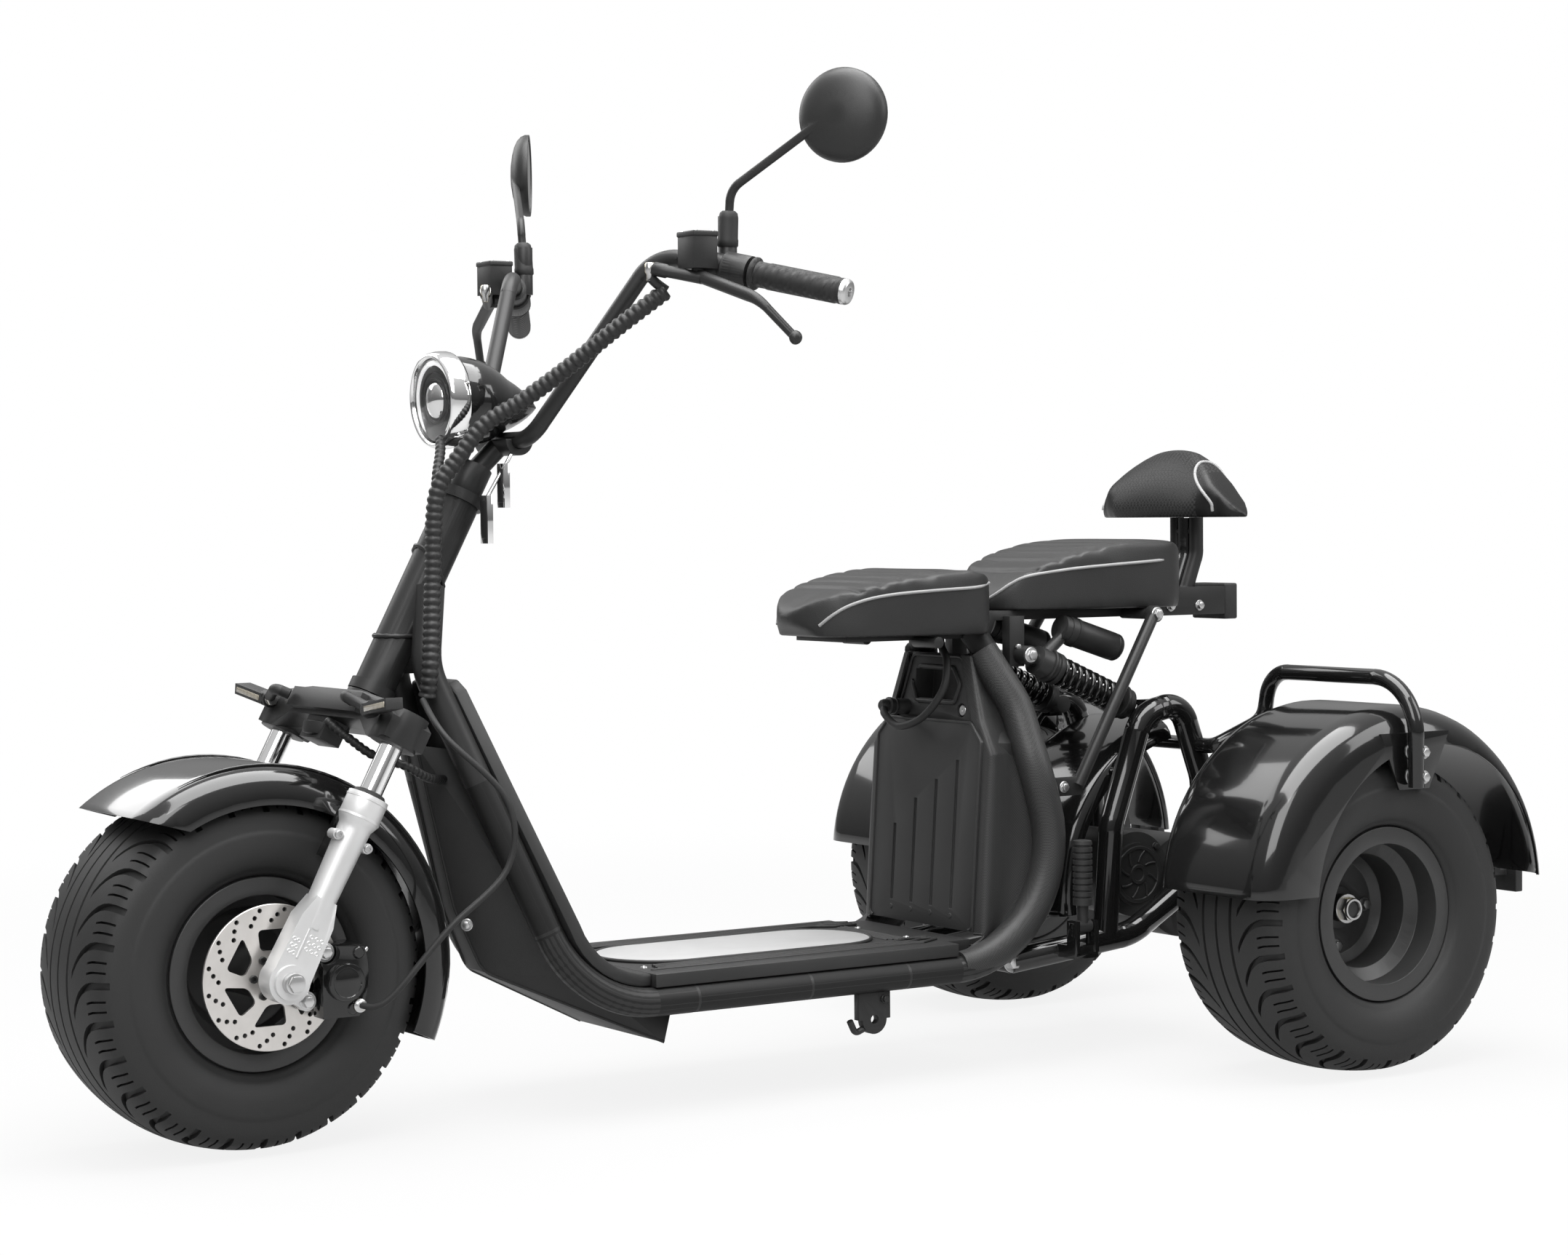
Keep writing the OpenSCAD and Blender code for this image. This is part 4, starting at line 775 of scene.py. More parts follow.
# Swing frame, motor and axle: gloss painted hoops round a motor whose black
# end cover is pressed with rings and slots, with a mudguard over it.
eased("swing_frame", gloss, 1.0, 55)
eased("rear_mudguard", gloss, 1.2, 60)
eased("drive_axle", satin, 1.6, 50)
bm = bmesh.new()
cover_at = spot(112, 99, 252)
turned(bm, cover_at, (0, 1, 0),
       [(0, 0), (9, 0.4), (10, 2.4), (14, 2.6), (15, 0.6), (36, 0.6), (37, 2.2), (41, 2.2), (42, 0.4), (46.2, 0),
        (46.2, -4), (0, -4)], 48)
for number in range(8):
    bow_line = [cover_at + Vector((r * math.cos(a), 0.0012, r * math.sin(a)))
                for a, r in ((math.tau * (number + t * 0.06) / 8, 0.018 + 0.0025 * t) for t in range(8))]
    tube(bm, bow_line, 1.6)
for number in range(4):
    turn = math.tau * (number + 0.5) / 4
    bolt(bm, spot(112 + 54 * math.cos(turn), 92, 252 + 54 * math.sin(turn)), (0, 1, 0), 8, 4, 6)
build("motor_cover", bm, body_of["drive_axle"], satin)
bm = bmesh.new()
for side in (1, -1):
    bolt(bm, spot(372, side * 136, 150), (0, side, 0), 17, 8, 15)
    bolt(bm, spot(275, side * 172, 162), (1, 0, 0), 8, 4)
    bolt(bm, spot(104, side * 135, 633), (0, side, 0), 13, 6, 10)
    bolt(bm, spot(288, side * 149, 393), (0, side, 0), 10, 5, 8)
build("pivot_bolts", bm, "frame", zinc)

# Foot pegs: ribbed rubber pushed on a steel pin, which hinges in a forked
# bracket below the rear saddle. Both are drawn folded up.
for side, node in ((1, "peg_left"), (-1, "peg_right")):
    base = spot(275, side * 174, 197)
    bm = bmesh.new()
    profile = [(0, 26), (8, 26), (8, 29), (14, 30)]
    for rib in range(9):
        low = 34 + rib * 9
        profile += [(14, low), (14, low + 5.5), (12.2, low + 6.5), (12.2, low + 8)]
    profile += [(14, 116), (13, 121), (9, 122), (0, 122)]
    turned(bm, base, (0, 0, 1), profile, 24)
    turned(bm, base, (0, 0, 1), [(0, 0), (8, 0), (8, 30), (0, 30)], 20)
    turned(bm, base - Vector((0.0125, 0, 0)), (1, 0, 0), [(0, 0), (8, 0), (9, 1), (9, 24), (8, 25), (0, 25)], 24)
    turned(bm, base - Vector((0.018, 0, 0)), (1, 0, 0), [(0, 0), (4, 0), (4, 36), (0, 36)], 16)
    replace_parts(build(node + "_rubber", bm, body_of[node], rubber), node)

# Rear mudguards: wide gloss pressings with a fixing tab each, hung on black
# tube rails by washered bolts.
eased("rear_fenders", gloss, 1.4, 60)
eased("grab_rails", gloss, 1.0, 60)
bm = bmesh.new()
for side in (1, -1):
    for z in (450, 416):
        bolt(bm, spot(-22, side * 524.4, z), (0, side, 0), 11, 5, 13)
        bolt(bm, spot(-22, side * 547, z), (0, side, 0), 11, 5, 9)
build("mudguard_bolts", bm, "frame", zinc)

# Steering head and fork: a matt black yoke with a horn under it, chromed tubes
# sliding in bead-blasted alloy legs, and a zinc axle held by flange nuts.
eased("steering_stem", satin, 1.0, 50)
eased("fork_yoke", satin, 3.0)
chrome = Finish("bright_chrome")
chrome.shade(Base_Color=grey(0.82), Metallic=1.0, Roughness=0.05 + chrome.noise(30.0) * 0.05)
eased("fork_stanchions", chrome, 0)
cast = coated("bead_blasted_alloy", 0.58, 0.42, 0.1, 1400.0, 0.0001, Metallic=0.55)
eased("fork_sliders", cast, 2.4, 40, 3)
eased("front_axle", zinc, 0.8)

bm = bmesh.new()
turned(bm, steered(6, -22, 318), (math.sin(RAKE) * 0.3, 0, -1),
       [(0, 8), (8, 8), (10, 5), (22, 4), (29, 1), (30, -4), (29, -14), (12, -16), (0, -16)], 36)
for y in (-60, 60):
    bolt(bm, steered(-30, y, 352), (-math.cos(RAKE), 0, -math.sin(RAKE)), 10, 5)
for side in (1, -1):
    turned(bm, steered(0, side * 161, 357.5), (-math.sin(RAKE), 0, math.cos(RAKE)),
           [(0, 4), (9, 4), (10, 3), (14, 3), (16, 1), (16, -3), (0, -3)], 32)
build("horn_and_fork_caps", bm, "steering", satin)

down_leg = Vector((math.sin(RAKE), 0, -math.cos(RAKE)))
fore = Vector((math.cos(RAKE), 0, math.sin(RAKE)))
collars, dark, bright = bmesh.new(), bmesh.new(), bmesh.new()
DIMPLES = [(x, s) for x in (-16, -8.5, -1) for s in (44, 52, 60)]
DIMPLES += [(x, s) for x in (13, 19) for s in (34, 42, 50)]
COLLAR_R = 26.6
for side in (1, -1):
    leg = steered(0, side * 161, 0)
    for height in (216, 240):
        turned(collars, leg - down_leg * height / 1000, -down_leg,
               [(24, -2), (COLLAR_R, -1.4), (COLLAR_R, 1.4), (24, 2)], 40)
    turned(dark, leg - down_leg * 0.2452, -down_leg,
           [(14.2, 0), (21, 0), (21.5, 1), (19, 5), (15.4, 6.5), (14.2, 6)], 40)
    out = Vector((0, side, 0))
    for column, row in DIMPLES:
        pit = leg + out * 0.016 + fore * column / 1000 - down_leg * row / 1000
        turned(collars, pit, out, [(0, 0.1), (1.6, 0.1), (2.2, 0.6), (2.9, 0.0), (2.9, -0.6), (0, -0.6)], 12)
    tube(collars, [leg + out * 0.0155 + fore * 0.006 - down_leg * up for up in (0.03, 0.068)], 1.8)
    for edge in (-1, 1):
        socket_screw(bright, leg + out * 0.0122 + fore * edge * 0.022 - down_leg * 0.186, out, 5.2, 5)
    bolt(bright, leg + out * 0.033, out, 19, 4.4, 0)
build("leg_collars", collars, "steering", cast)
build("dust_seals", dark, "steering", rubber)
build("fork_screws", bright, "steering", zinc)

# Front mudguard: a gloss moulding with a pressed crease and a rolled front
# lip, bolted to the legs through rubber blocks.
eased("front_fender", gloss, 1.6, 60)
ARCH_R, CREASE_Y, CREASE_STEPS = 254.0 + 3.5, 92, 34
bm = bmesh.new()
front_hub = spot(WHEELBASE, 0, AXLE_Z)
for side in (1, -1):
    crease = [front_hub + Vector((ARCH_R * math.cos(a), side * CREASE_Y, ARCH_R * math.sin(a))) / 1000
              for a in (math.radians(66 + 4 * step) for step in range(CREASE_STEPS))]
    tube(bm, crease, 1.8, [min(1.0, 0.2 + 0.2 * min(i, CREASE_STEPS - 1 - i)) for i in range(CREASE_STEPS)])
build("mudguard_creases", bm, "steering", gloss)
bm = bmesh.new()
for side in (1, -1):
    lens(bm, steered(-24, side * 143 - 9, 176), steered(-24, side * 143 + 9, 176) + Vector((0.022, 0, 0.05)), 4.0)
build("mudguard_blocks", bm, "steering", rubber)

# Brake: a black sliding calliper on two bolts, with a plain round piston
# boss, a bleed screw and a brass hose union low on its back.
eased("brake_caliper", gloss, 2.4, 40, 3)
brass = coated("yellow_zinc_plate", 0.5, 0.28, 0.1, 300.0, 0.00003, Metallic=1.0, Specular_Tint=(1, 0.85, 0.5, 1))
bm = bmesh.new()
boss = spot(WHEELBASE - 80, 168, AXLE_Z - 8)
turned(bm, boss, (0, 1, 0),
       [(0, 1.2), (15, 1.2), (16.5, 0.4), (18, 0.4), (19, 1.6), (22.4, 1.2), (24.2, -1), (24.2, -3), (0, -3)], 40)
for x, z in ((-100, 26), (-92, -42)):
    turned(bm, spot(WHEELBASE + x, 152, AXLE_Z + z), (0, 1, 0),
           [(0, 8), (6, 8), (8, 6), (9, 3), (9, -4), (0, -4)], 24)
build("caliper_bosses", bm, "steering", gloss)
bm = bmesh.new()
for x, z in ((-61, 28), (-36, -30)):
    bolt(bm, spot(WHEELBASE + x, 146, AXLE_Z + z), (0, 1, 0), 13, 7, 10)
build("caliper_bolts", bm, "steering", zinc)
bm = bmesh.new()
turned(bm, spot(WHEELBASE - 100, 152, AXLE_Z - 39), (0, 1, 0),
       [(0, 12), (5, 12), (6, 11), (8.5, 10), (8.5, 2), (6, 1), (6, -3), (0, -3)], 24)
turned(bm, spot(WHEELBASE - 112, 140, AXLE_Z + 20), (-0.7, 0, 0.7),
       [(0, 12), (2, 12), (3, 9), (2.4, 7), (4, 5), (4, -2), (0, -2)], 16)
build("hose_union", bm, "steering", brass)

# Headlamp: a gloss bullet shell with a broad chromed rim. Behind the clear
# face lie a dark bowl, a white ring light and a round projector.
LAMP_AT, LAMP_TILT = spot(1199, 0, 933), math.radians(3)
lamp_out = Vector((math.cos(LAMP_TILT), 0, -math.sin(LAMP_TILT)))
eased("headlamp_shell", gloss, 1.0, 50)
bm = bmesh.new()
turned(bm, LAMP_AT, lamp_out,
       [(54, -21.5), (62.2, -21.5), (63, -18), (63.2, -12), (63, -6), (61.6, 1), (59.4, 5), (57.6, 6), (56, 5.4),
        (54.8, 3.6), (54.2, 1), (54.2, -3.7), (54.6, -3.7), (54.6, -21.5)], 64)
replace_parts(build("lamp_rim", bm, "steering", chrome, 50), "headlamp_bezel")
bm = bmesh.new()
turned(bm, LAMP_AT, lamp_out,
       [(0, 9), (16, 8.6), (32, 7.4), (44, 5.2), (54, 1.8), (54, 0.6), (44, 3.9), (32, 6.0), (16, 7.2), (0, 7.6)], 64)
glass = Finish("clear_lens")
glass.shade(Base_Color=grey(0.96), Roughness=0.02 + glass.noise(40.0) * 0.02, Transmission_Weight=1.0, IOR=1.2)
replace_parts(build("lamp_glass", bm, "steering", glass, 50), "headlamp_glass")
bm = bmesh.new()
turned(bm, LAMP_AT, lamp_out,
       [(0, -3.6), (25, -3.6), (27, 0.5), (28, 0.5), (30, -2.4), (35, -2.4), (36, -0.4), (37, -2.6), (52, -2.6),
        (54, 0), (54.2, -3.7), (0, -3.7)], 64)
build("lamp_bowl", bm, "steering", satin, 30)
halo = Finish("white_ring_light")
halo.shade(Base_Color=halo.mix(halo.noise(60.0), grey(0.8), grey(0.9)), Roughness=0.3, Emission_Color=grey(0.9),
           Emission_Strength=0.5)
bm = bmesh.new()
turned(bm, LAMP_AT, lamp_out, [(45, -2.7), (45.4, -0.8), (48, 0.2), (51, -0.8), (51.6, -2.7)], 64)
build("lamp_ring", bm, "steering", halo, 60)
bm = bmesh.new()
turned(bm, LAMP_AT, lamp_out, [(24.6, -3.5), (24, -1), (20, 1.8), (12, 4.4), (0, 5.4)], 48)
eye = Finish("projector_eye")
eye.shade(Base_Color=eye.mix(eye.noise(20.0), grey(0.5), grey(0.8)), Metallic=1.0, Roughness=0.08, Coat_Weight=1.0)
build("lamp_projector", bm, "steering", eye, 60)

# Handlebar: one bent satin tube with rubber grips, master cylinders with box
# reservoirs, ball-end levers and switch pods.
eased("handlebar", satin, 0)
eased("hand_controls", satin, 1.4, 50)
GRIP_LEN, BORE_R = 128.0, 11.4
knurl = Finish("diamond_grip_rubber")
lines = []
for twist in (0.8, -0.8):
    way = knurl.node("Mapping", None, {"Vector": knurl.place, "Rotation": (0.5, 0.3, twist)})
    lines.append(knurl.node("TexWave", None, {"Vector": way, "Scale": 38.0}, "Fac"))
knurl.shade(Base_Color=grey(0.014), Roughness=0.6 - lines[0] * 0.1, Normal=knurl.bump(lines[0] * lines[1], 0.0011),
            Specular_IOR_Level=0.35)
grips, caps, pods = bmesh.new(), bmesh.new(), bmesh.new()
for side in (1, -1):
    end, bend = spot(844, side * 420, 1058), spot(978, side * 193, 1116)
    outward = (end - bend).normalized()
    base = end - outward * GRIP_LEN / 1000
    turned(grips, base, outward,
           [(BORE_R, 0), (20, 0), (21, 1), (21, 4), (20, 5), (16.5, 7), (16.2, 20), (17, 24), (17, 118), (16, 121),
            (16.5, 124), (16.5, GRIP_LEN), (BORE_R, GRIP_LEN)], 36)
    turned(caps, end, outward, [(0, 4), (5, 4), (5.6, 8.4), (12, 8.4), (15, 7), (16.4, 4), (16.4, -3), (0, -3)], 32)
    pod = end - outward * 0.152
    turned(pods, pod - outward * 0.017, outward,
           [(BORE_R, 0), (19, 0), (21, 2), (21, 15), (20, 16), (20, 18), (21, 19), (21, 32), (19, 34),
            (BORE_R, 34)], 36)
    for height in (0, 11):
        turned(pods, pod + outward * (height - 6) / 1000 + Vector((-0.0205, 0, 0.006)), (-1, 0, 0.3),
               [(0, 3), (3, 3), (4, 2), (4, -2), (0, -2)], 16)
    cup = spot(964, side * 270, 1136)
    lens(pods, cup + Vector((-0.0185, -0.0215, -0.004)), cup + Vector((0.0185, 0.0215, 0.003)), 2.0)
    for x, y in ((-13, -16), (13, 16), (-13, 16), (13, -16)):
        socket_screw(caps, cup + Vector((x, y, 3)) / 1000, (0, 0, 1), 2.6, 1.0)
levers, unions = bmesh.new(), bmesh.new()
for side in (1, -1):
    blade = bent([spot(969, side * 271, 1085), spot(940, side * 373, 1049), spot(912, side * 412, 1000)], (60,), 10)
    tube(levers, blade, 7.4, [1.15 - 0.4 * i / (len(blade) - 1) for i in range(len(blade))])
    barrel = Vector((-48, side * 79, -20)).normalized()
    inner_end = spot(1002, side * 226, 1094)
    turned(levers, inner_end, barrel,
           [(0, 0), (8, 0), (9, 1.5), (9, 18), (7.6, 20), (7.6, 70), (0, 70)], 24)
    turned(levers, spot(966, side * 275, 1089), (0, 0, 1),
           [(0, -14), (7, -14), (8, -13), (8, 7), (6, 8), (0, 8)], 20)
    bolt(unions, inner_end, -barrel, 11, 7, 8)
    turned(unions, spot(1005, side * 221, 1095), (0, 0, -1),
           [(0, -7), (5, -7), (6.5, -5), (6.5, 5), (4.4, 8), (4.4, 16), (0, 16)], 20)
build("brake_levers", levers, "steering", satin)
build("brake_unions", unions, "steering", brass)
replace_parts(build("grip_sleeves", grips, "steering", knurl), "grips")
build("grip_ends", caps, "steering", zinc)
build("switch_pods", pods, "steering", moulded)

# Mirrors: round satin shells that hold silvered glass, on bent steel stalks
# screwed into the lever clamps, each with a rubber boot over its foot.
eased("mirrors", satin, 1.4, 50)
silver = Finish("mirror_silver")
silver.shade(Base_Color=grey(0.85), Metallic=1.0, Roughness=0.02 + silver.noise(20.0) * 0.02)
dress(silver, "mirror_glasses")
bm = bmesh.new()
for side in (1, -1):
    turned(bm, spot(918, side * 268, 1122), (0, 0.08 * side, 1),
           [(0, -1), (12, -1), (13.6, 1), (13.6, 8), (13, 10), (12.6, 36), (11.4, 42), (8, 45), (0, 45)], 28)
build("mirror_boots", bm, "steering", rubber)

# Indicators: short black moulded bars with a ribbed clear strip along the
# front, on stalks held to the yoke by plated nuts.
eased("front_indicators", moulded, 2.2, 50)
clear_strip = Finish("ribbed_clear_strip")
ribs = clear_strip.node("TexWave", {"bands_direction": "Y"}, {"Vector": clear_strip.place, "Scale": 120.0}, "Fac")
clear_strip.shade(Base_Color=clear_strip.mix(ribs, (0.1, 0.09, 0.07, 1), (0.46, 0.42, 0.34, 1)), Roughness=0.2,
                  Coat_Weight=0.6)
strips, nuts = bmesh.new(), bmesh.new()
for side in (1, -1):
    stalk = spot(1369, side * 150, 548)
    tilt, sweep_back = (Matrix.Rotation(math.radians(a * side), 4, axis) for a, axis in ((8, "X"), (-3, "Z")))
    block = Matrix.Translation((0.0105, side * 0.039, 0)) @ Matrix.Diagonal((0.003, 0.064, 0.007, 1))
    shape = bmesh.ops.create_cube(strips, size=1.0, matrix=Matrix.Translation(stalk) @ tilt @ sweep_back @ block)
    rim = {e for v in shape["verts"] for e in v.link_edges}
    bmesh.ops.bevel(strips, geom=list(rim), offset=0.001, affect="EDGES", segments=2, profile=0.5, material=-1)
    bolt(nuts, stalk - Vector((0, side * 0.007, 0)), (0, -side, 0), 15, 5, 9)
build("indicator_strips", strips, "steering", clear_strip)
build("indicator_nuts", nuts, "steering", brass)

# Loom, leads and hose: the handlebar, headlamp and indicator wires bound in
# black spiral wrap, a rubber brake hose with them, and the keys on their ring.
WRAP_STEP = 1.5


def even_line(points, pitch):
    """A smooth line through the points, cut to even steps."""
    fine = smooth_line(points, 24)
    total = sum((b - a).length for a, b in zip(fine, fine[1:]))
    count = max(2, round(total / pitch * 1000))
    walk, line, reached, wanted = fine[0], [fine[0]], 0.0, total / count
    for here in fine[1:]:
        step = (here - walk).length
        while reached + step >= wanted and len(line) < count:
            walk = walk.lerp(here, (wanted - reached) / step)
            line.append(walk)
            step, reached = (here - walk).length, 0.0
        reached, walk = reached + step, here
    return line + [fine[-1]]


def bound(bm, line, radius, slim, swell, turn, sides=4):
    """A cord in spiral wrap, which swells and slims along each turn."""
    waves = [slim + swell * abs(math.sin(math.pi * i * WRAP_STEP / turn)) for i in range(len(line))]
    tube(bm, line, radius, waves, sides=sides)


wrap = coated("spiral_wrap", 0.014, 0.48, 0.1, 400.0, 0.0001, Specular_IOR_Level=0.35)
LOOM = ((984, 226, 1067), (1036, 195, 1022), (1087, 150, 970), (1132, 112, 929), (1172, 88, 900), (1206, 74, 855),
        (1231, 66, 810), (1237, 64, 710), (1244, 73, 640), (1250, 79.5, 592), (1252.2, 74, 556))
bm = bmesh.new()
bound(bm, even_line([spot(*p) for p in LOOM], WRAP_STEP), 11.0, 0.84, 0.22, 10.0, sides=5)
loom = build("loom_wrap", bm, None, wrap, 80)
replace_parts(loom, "wiring_loom")
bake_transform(loom)

bm = bmesh.new()
tube(bm, smooth_line([spot(984, 226, 1067), spot(996, 222, 1076), spot(1005, 221, 1084)], 6), 6.5)
short = even_line([spot(1203, 24, 884), spot(1213, 42, 864), spot(1226, 58, 836), spot(1231, 65, 812)], WRAP_STEP)
bound(bm, short, 6.5, 0.86, 0.2, 8.0)
build("lamp_lead", bm, "steering", wrap, 80)
LEAD = ((1367, 20, 528), (1348, 50, 504), (1329, 75, 485), (1291, 90, 470), (1250, 70, 452), (1208, 30, 445))
bm = bmesh.new()
bound(bm, even_line([spot(*p) for p in LEAD], WRAP_STEP), 5.6, 0.84, 0.24, 9.0)
indicator_lead = build("indicator_lead", bm, None, wrap, 80)
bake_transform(indicator_lead)

HOSE = ((1393, 161.4, 186), (1367, 186, 194), (1293, 204, 276), (1211, 206, 346), (1209, 204, 430), (1271, 160, 510),
        (1263.8, 84.6, 552))
bm = bmesh.new()
tube(bm, smooth_line([spot(*p) for p in HOSE], 14), 4.0)
hose = build("brake_line", bm, None, rubber, 80)
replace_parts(hose, "brake_hose")
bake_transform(hose)

eased("key_fobs", chrome, 1.6)
bm = bmesh.new()
for x, low, high in ((1125, 800, 845), (1149, 754, 804)):
    lens(bm, spot(x - 4.6, 38, low), spot(x + 4.6, 55, high), 2.0)
build("key_bodies", bm, "steering", moulded)

# Wheels: deep black steel rims, the front one with a drilled and brushed
# disc, the rear ones on a four bolt flange under a castle nut.
rim_black = coated("rim_black_powder", 0.024, 0.4, 0.12, 900.0, 0.0001, Specular_IOR_Level=0.5)
for node in ("front_rim", "rear_left_rim", "rear_right_rim"):
    eased(node, rim_black, 1.6, 25, 3)
brushed = Finish("brushed_disc_steel")
grain = brushed.noise(60.0, 6.0, (1, 0.1, 1))
brushed.shade(Base_Color=brushed.mix(grain, grey(0.56, 0.04), grey(0.72, 0.03)), Metallic=0.9,
              Roughness=0.24 + grain * 0.16, Normal=brushed.bump(brushed.noise(900.0), 0.00003))
DISC_FACE, DISC_R = 121.0, 90.0
HOLE_R, WINDOW_R, WINDOW_AT, PUNCH_DEEP = 0.003, 0.0185, 46, 0.02
blank, punch = bmesh.new(), bmesh.new()
disc_at = spot(WHEELBASE, DISC_FACE, AXLE_Z)
turned(blank, disc_at, (0, 1, 0), [(15, 0), (89.4, 0), (DISC_R, 0.6), (DISC_R, 3.4), (89.4, 4), (15, 4), (15, 0)], 96)
for number in range(16):
    for row, radius in enumerate((70, 77, 84)):
        turn = math.tau * (number + 0.27 * row) / 16
        place = disc_at + Vector((radius * math.cos(turn), 2, radius * math.sin(turn))) / 1000
        bmesh.ops.create_cone(punch, cap_ends=True, segments=14, radius1=HOLE_R, radius2=HOLE_R, depth=PUNCH_DEEP,
                              matrix=around(place, (0, 1, 0)))
for number in range(6):
    turn = math.tau * (number + 0.5) / 6
    place = disc_at + Vector((WINDOW_AT * math.cos(turn), 2, WINDOW_AT * math.sin(turn))) / 1000
    out, side = Vector((math.cos(turn), 0, math.sin(turn))), Vector((-math.sin(turn), 0, math.cos(turn)))
    window = bmesh.ops.create_cone(punch, cap_ends=True, segments=4, radius1=WINDOW_R, radius2=WINDOW_R,
                                   depth=PUNCH_DEEP)
    flat = Matrix((out, side, Vector((0, 1, 0)))).transposed().to_4x4()
    flat.translation = place
    bmesh.ops.rotate(punch, verts=window["verts"], cent=(0, 0, 0), matrix=Matrix.Rotation(math.radians(45), 3, "Z"))
    for vert in window["verts"]:
        vert.co.y = vert.co.y * (1.27 + vert.co.x / 0.031) + vert.co.x * 0.3
    posts = [e for e in {e for v in window["verts"] for e in v.link_edges}
             if abs(e.verts[0].co.z - e.verts[1].co.z) > PUNCH_DEEP / 2]
    rounded = bmesh.ops.bevel(punch, geom=posts, offset=0.006, affect="EDGES", segments=4, profile=0.5, material=-1)
    cut = {v for f in rounded["faces"] for v in f.verts} | {v for v in window["verts"] if v.is_valid}
    bmesh.ops.transform(punch, matrix=flat, verts=list(cut))

blank_piece, punch_piece = placed("disc_blank", welded(blank)), placed("disc_punch", welded(punch))
drill = blank_piece.modifiers.new("drill", "BOOLEAN")
drill.object, drill.operation, drill.solver = punch_piece, "DIFFERENCE", "EXACT"
bm = bmesh.new()
bm.from_mesh(baked(blank_piece))
bpy.data.objects.remove(blank_piece)
bpy.data.objects.remove(punch_piece)
disc = build("drilled_disc", bm, body_of["brake_disc"], brushed, 30)
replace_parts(disc, "brake_disc")

bm = bmesh.new()
for number in range(6):
    turn = math.tau * number / 6
    socket_screw(bm, disc_at + Vector((25 * math.cos(turn), 4, 25 * math.sin(turn))) / 1000, (0, 1, 0), 5, 4)
build("disc_screws", bm, body_of["brake_disc"], satin)

dull = coated("dull_steel", 0.22, 0.38, 0.12, 300.0, 0.00003, Metallic=0.9)
for side, node in ((1, "rear_left_rim"), (-1, "rear_right_rim")):
    hub = spot(0, side * TRACK_HALF, AXLE_Z)
    bm = bmesh.new()
    for number in range(4):
        turn = math.tau * number / 4
        bolt(bm, hub + Vector((55 * math.cos(turn), side * -6, 55 * math.sin(turn))) / 1000, (0, side, 0), 13, 7, 10)
    build(node + "_bolts", bm, body_of[node], dull)
    bm = bmesh.new()
    face = hub + Vector((0, side * 0.018, 0))
    bolt(bm, face, (0, side, 0), 30, 10, 21)
    turned(bm, face + Vector((0, side * 0.011, 0)), (0, side, 0), [(12, 0), (14.6, 0), (14.6, 4), (12, 4)], 30)
    build(node + "_castle_nut", bm, body_of[node], brass)

# Tyres: moulded rubber on safety rims, smooth sided, with hooked grooves cut
# from the shoulder towards the crown and two short cuts in each block.
tread = coated("tyre_rubber", 0.016, 0.58, 0.14, 420.0, 0.00012, Specular_IOR_Level=0.35)
TREAD_R, PITCHES, GROOVE_DEPTH = 225.0, 28, 7.0
# share of a pitch where each cut starts and ends: groove, block, cut, block, cut, block
PITCH_STEPS = (0.0, 0.19, 0.4, 0.46, 0.56, 0.66, 0.72, 0.86)
HOOK_TURN, SHOULDER_Y, HOOK_END_Y = 11.0, 104.0, 40.0


def bow(start, pull, end, count):
    """Points along a quadratic curve, without its first."""
    rows = []
    for step in range(1, count + 1):
        t = step / count
        rows.append(tuple(a * (1 - t) ** 2 + 2 * b * t * (1 - t) + c * t * t for a, b, c in zip(start, pull, end)))
    return rows


def crown(y):
    """The radius of the tread at a distance from its middle."""
    return TREAD_R - 9.0 * (y / 84.0) ** 2


half_tyre = [(68, 102.3), (87.7, 102.3), (87.7, 120.5), (92, 123)]
half_tyre += [(96.5, 126), (98.5, 129.5), (99.5, 130)] + bow((99.5, 130), (113.5, 147), (112.5, 171), 6)
half_tyre += [(111.9, 176), (111.3, 176.8), (110.9, 180)] + bow((110.9, 180), (110, 205), (SHOULDER_Y - 8, 211.5), 6)
half_tyre += [(y, crown(y)) for y in (84, 74, 65, 57, 51, 45, HOOK_END_Y, 30)]
half_tyre += [(29.4, crown(30) - 5), (25.6, crown(30) - 5), (25, crown(25)), (12, crown(12)), (2.2, crown(2)),
              (1.9, crown(2) - 4), (0, crown(0) - 4)]


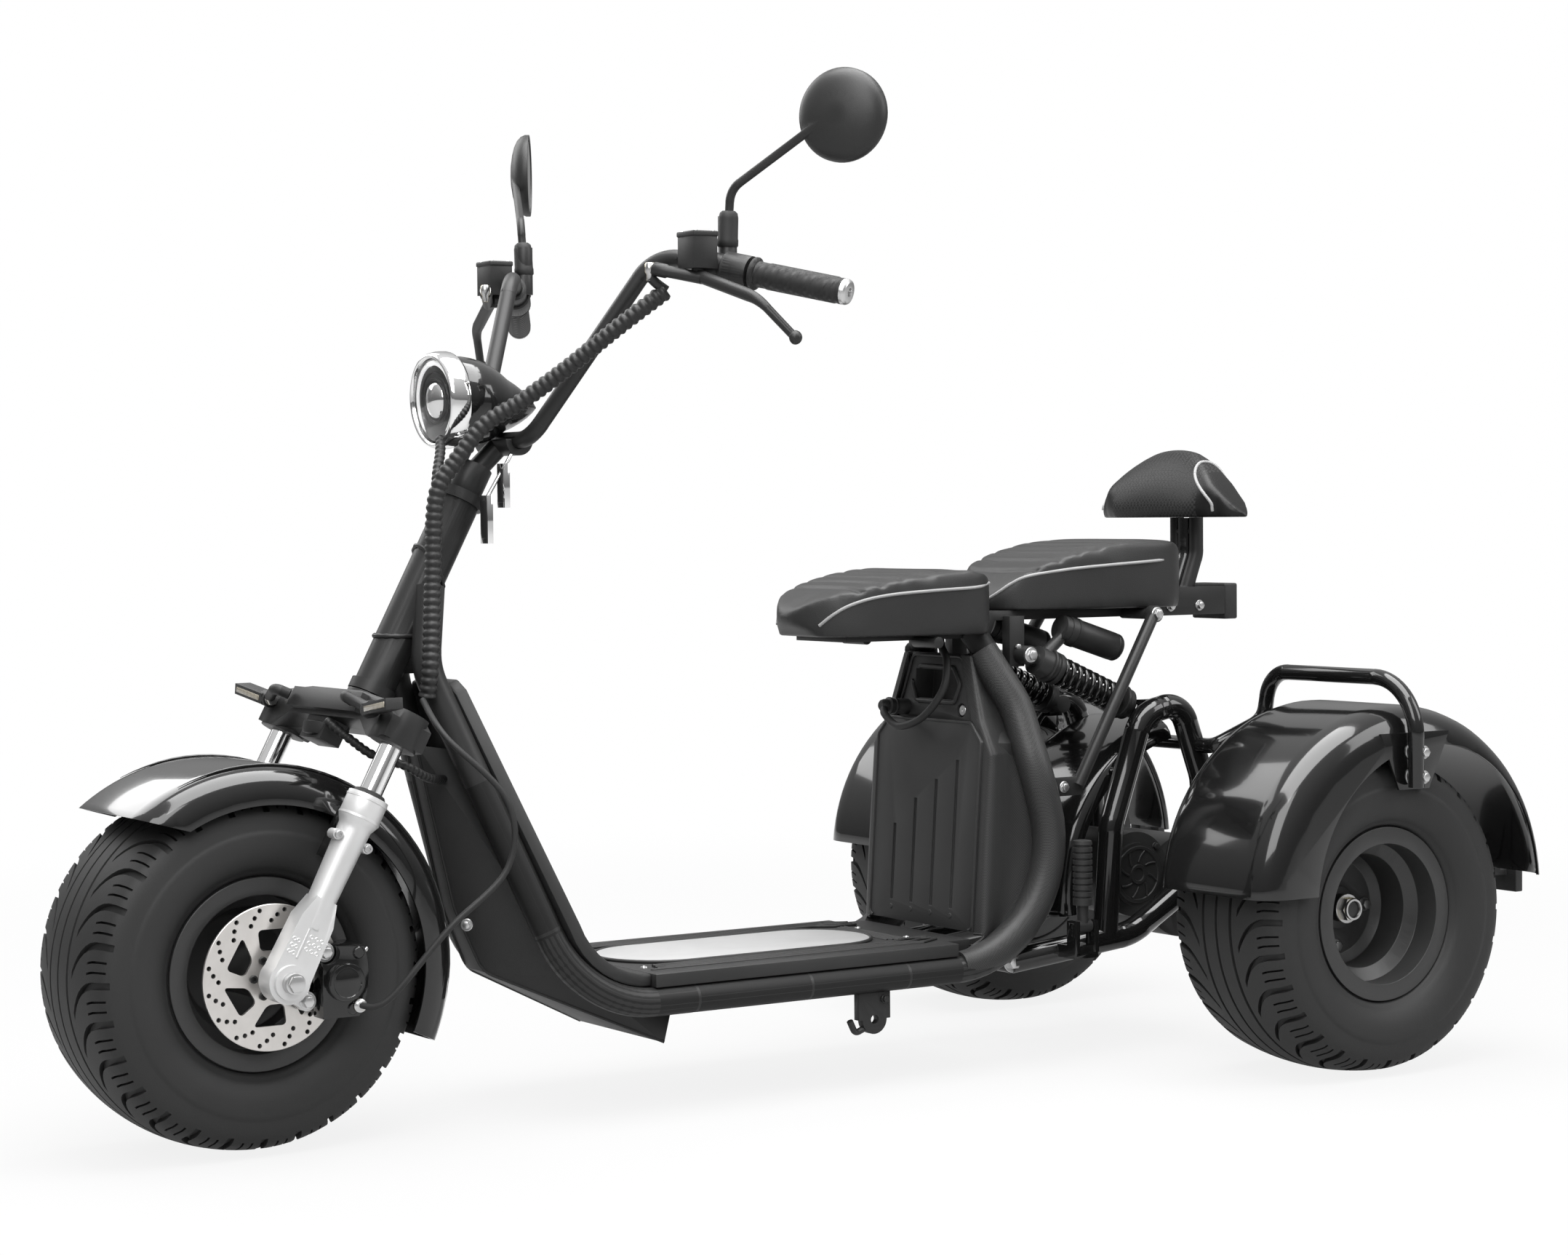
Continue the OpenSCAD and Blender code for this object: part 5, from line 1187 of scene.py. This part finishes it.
def make_tyre(name, node, hub, flip):
    """One tyre about a hub that lies along Y."""
    bm = bmesh.new()
    outline = half_tyre + [(-y, r) for y, r in reversed(half_tyre[:-1])]
    ring = [bm.verts.new(hub + Vector((r, flip * y, 0)) / 1000) for y, r in outline]
    edges = [bm.edges.new((a, b)) for a, b in zip(ring, ring[1:] + ring[:1])]
    steps = PITCHES * len(PITCH_STEPS)
    bmesh.ops.spin(bm, geom=ring + edges, cent=hub, axis=(0, 1, 0), angle=math.tau, steps=steps, use_merge=True)
    bmesh.ops.recalc_face_normals(bm, faces=bm.faces)
    cuts = []
    for face in bm.faces:
        middle = face.calc_center_median() - hub
        reach, radius = abs(middle.y) * 1000, math.hypot(middle.x, middle.z) * 1000
        angle = math.atan2(middle.z, middle.x) % math.tau
        part = int(angle / math.tau * steps) % len(PITCH_STEPS)
        rows = (HOOK_END_Y, SHOULDER_Y + 2) if part == 0 else (76, SHOULDER_Y - 1) if part in (2, 5) else None
        if rows and rows[0] < reach < rows[1] and radius > 190:
            cuts.append(face)
    sunk = bmesh.ops.extrude_face_region(bm, geom=cuts)["geom"]
    bmesh.ops.delete(bm, geom=cuts, context="FACES")
    for vert in (v for v in sunk if isinstance(v, bmesh.types.BMVert)):
        away = Vector((vert.co.x - hub.x, 0, vert.co.z - hub.z))
        vert.co -= away.normalized() * GROOVE_DEPTH / 1000
    for vert in bm.verts:
        place = vert.co - hub
        reach, radius = abs(place.y) * 1000, math.hypot(place.x, place.z) * 1000
        if radius < 150:
            continue
        angle = math.atan2(vert.co.z - hub.z, vert.co.x - hub.x) % math.tau
        share = angle / math.tau * PITCHES
        part = round((share % 1) * len(PITCH_STEPS))
        even, wanted = part / len(PITCH_STEPS), (PITCH_STEPS + (1.0,))[part]
        fade = min(1.0, max(0.0, (radius - 180) / 20))
        hook = max(0.0, min(1.0, (SHOULDER_Y - reach) / (SHOULDER_Y - HOOK_END_Y)))
        turn = (wanted - even) * math.tau / PITCHES * fade - math.radians(HOOK_TURN) * hook ** 3.2
        vert.co = hub + Matrix.Rotation(-turn, 3, "Y") @ place
    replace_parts(build(name, bm, body_of[node], tread, 36), node)


make_tyre("front_tread", "front_tyre", spot(WHEELBASE, 0, AXLE_Z), 1)
make_tyre("rear_left_tread", "rear_left_tyre", spot(0, TRACK_HALF, AXLE_Z), 1)
make_tyre("rear_right_tread", "rear_right_tyre", spot(0, -TRACK_HALF, AXLE_Z), -1)
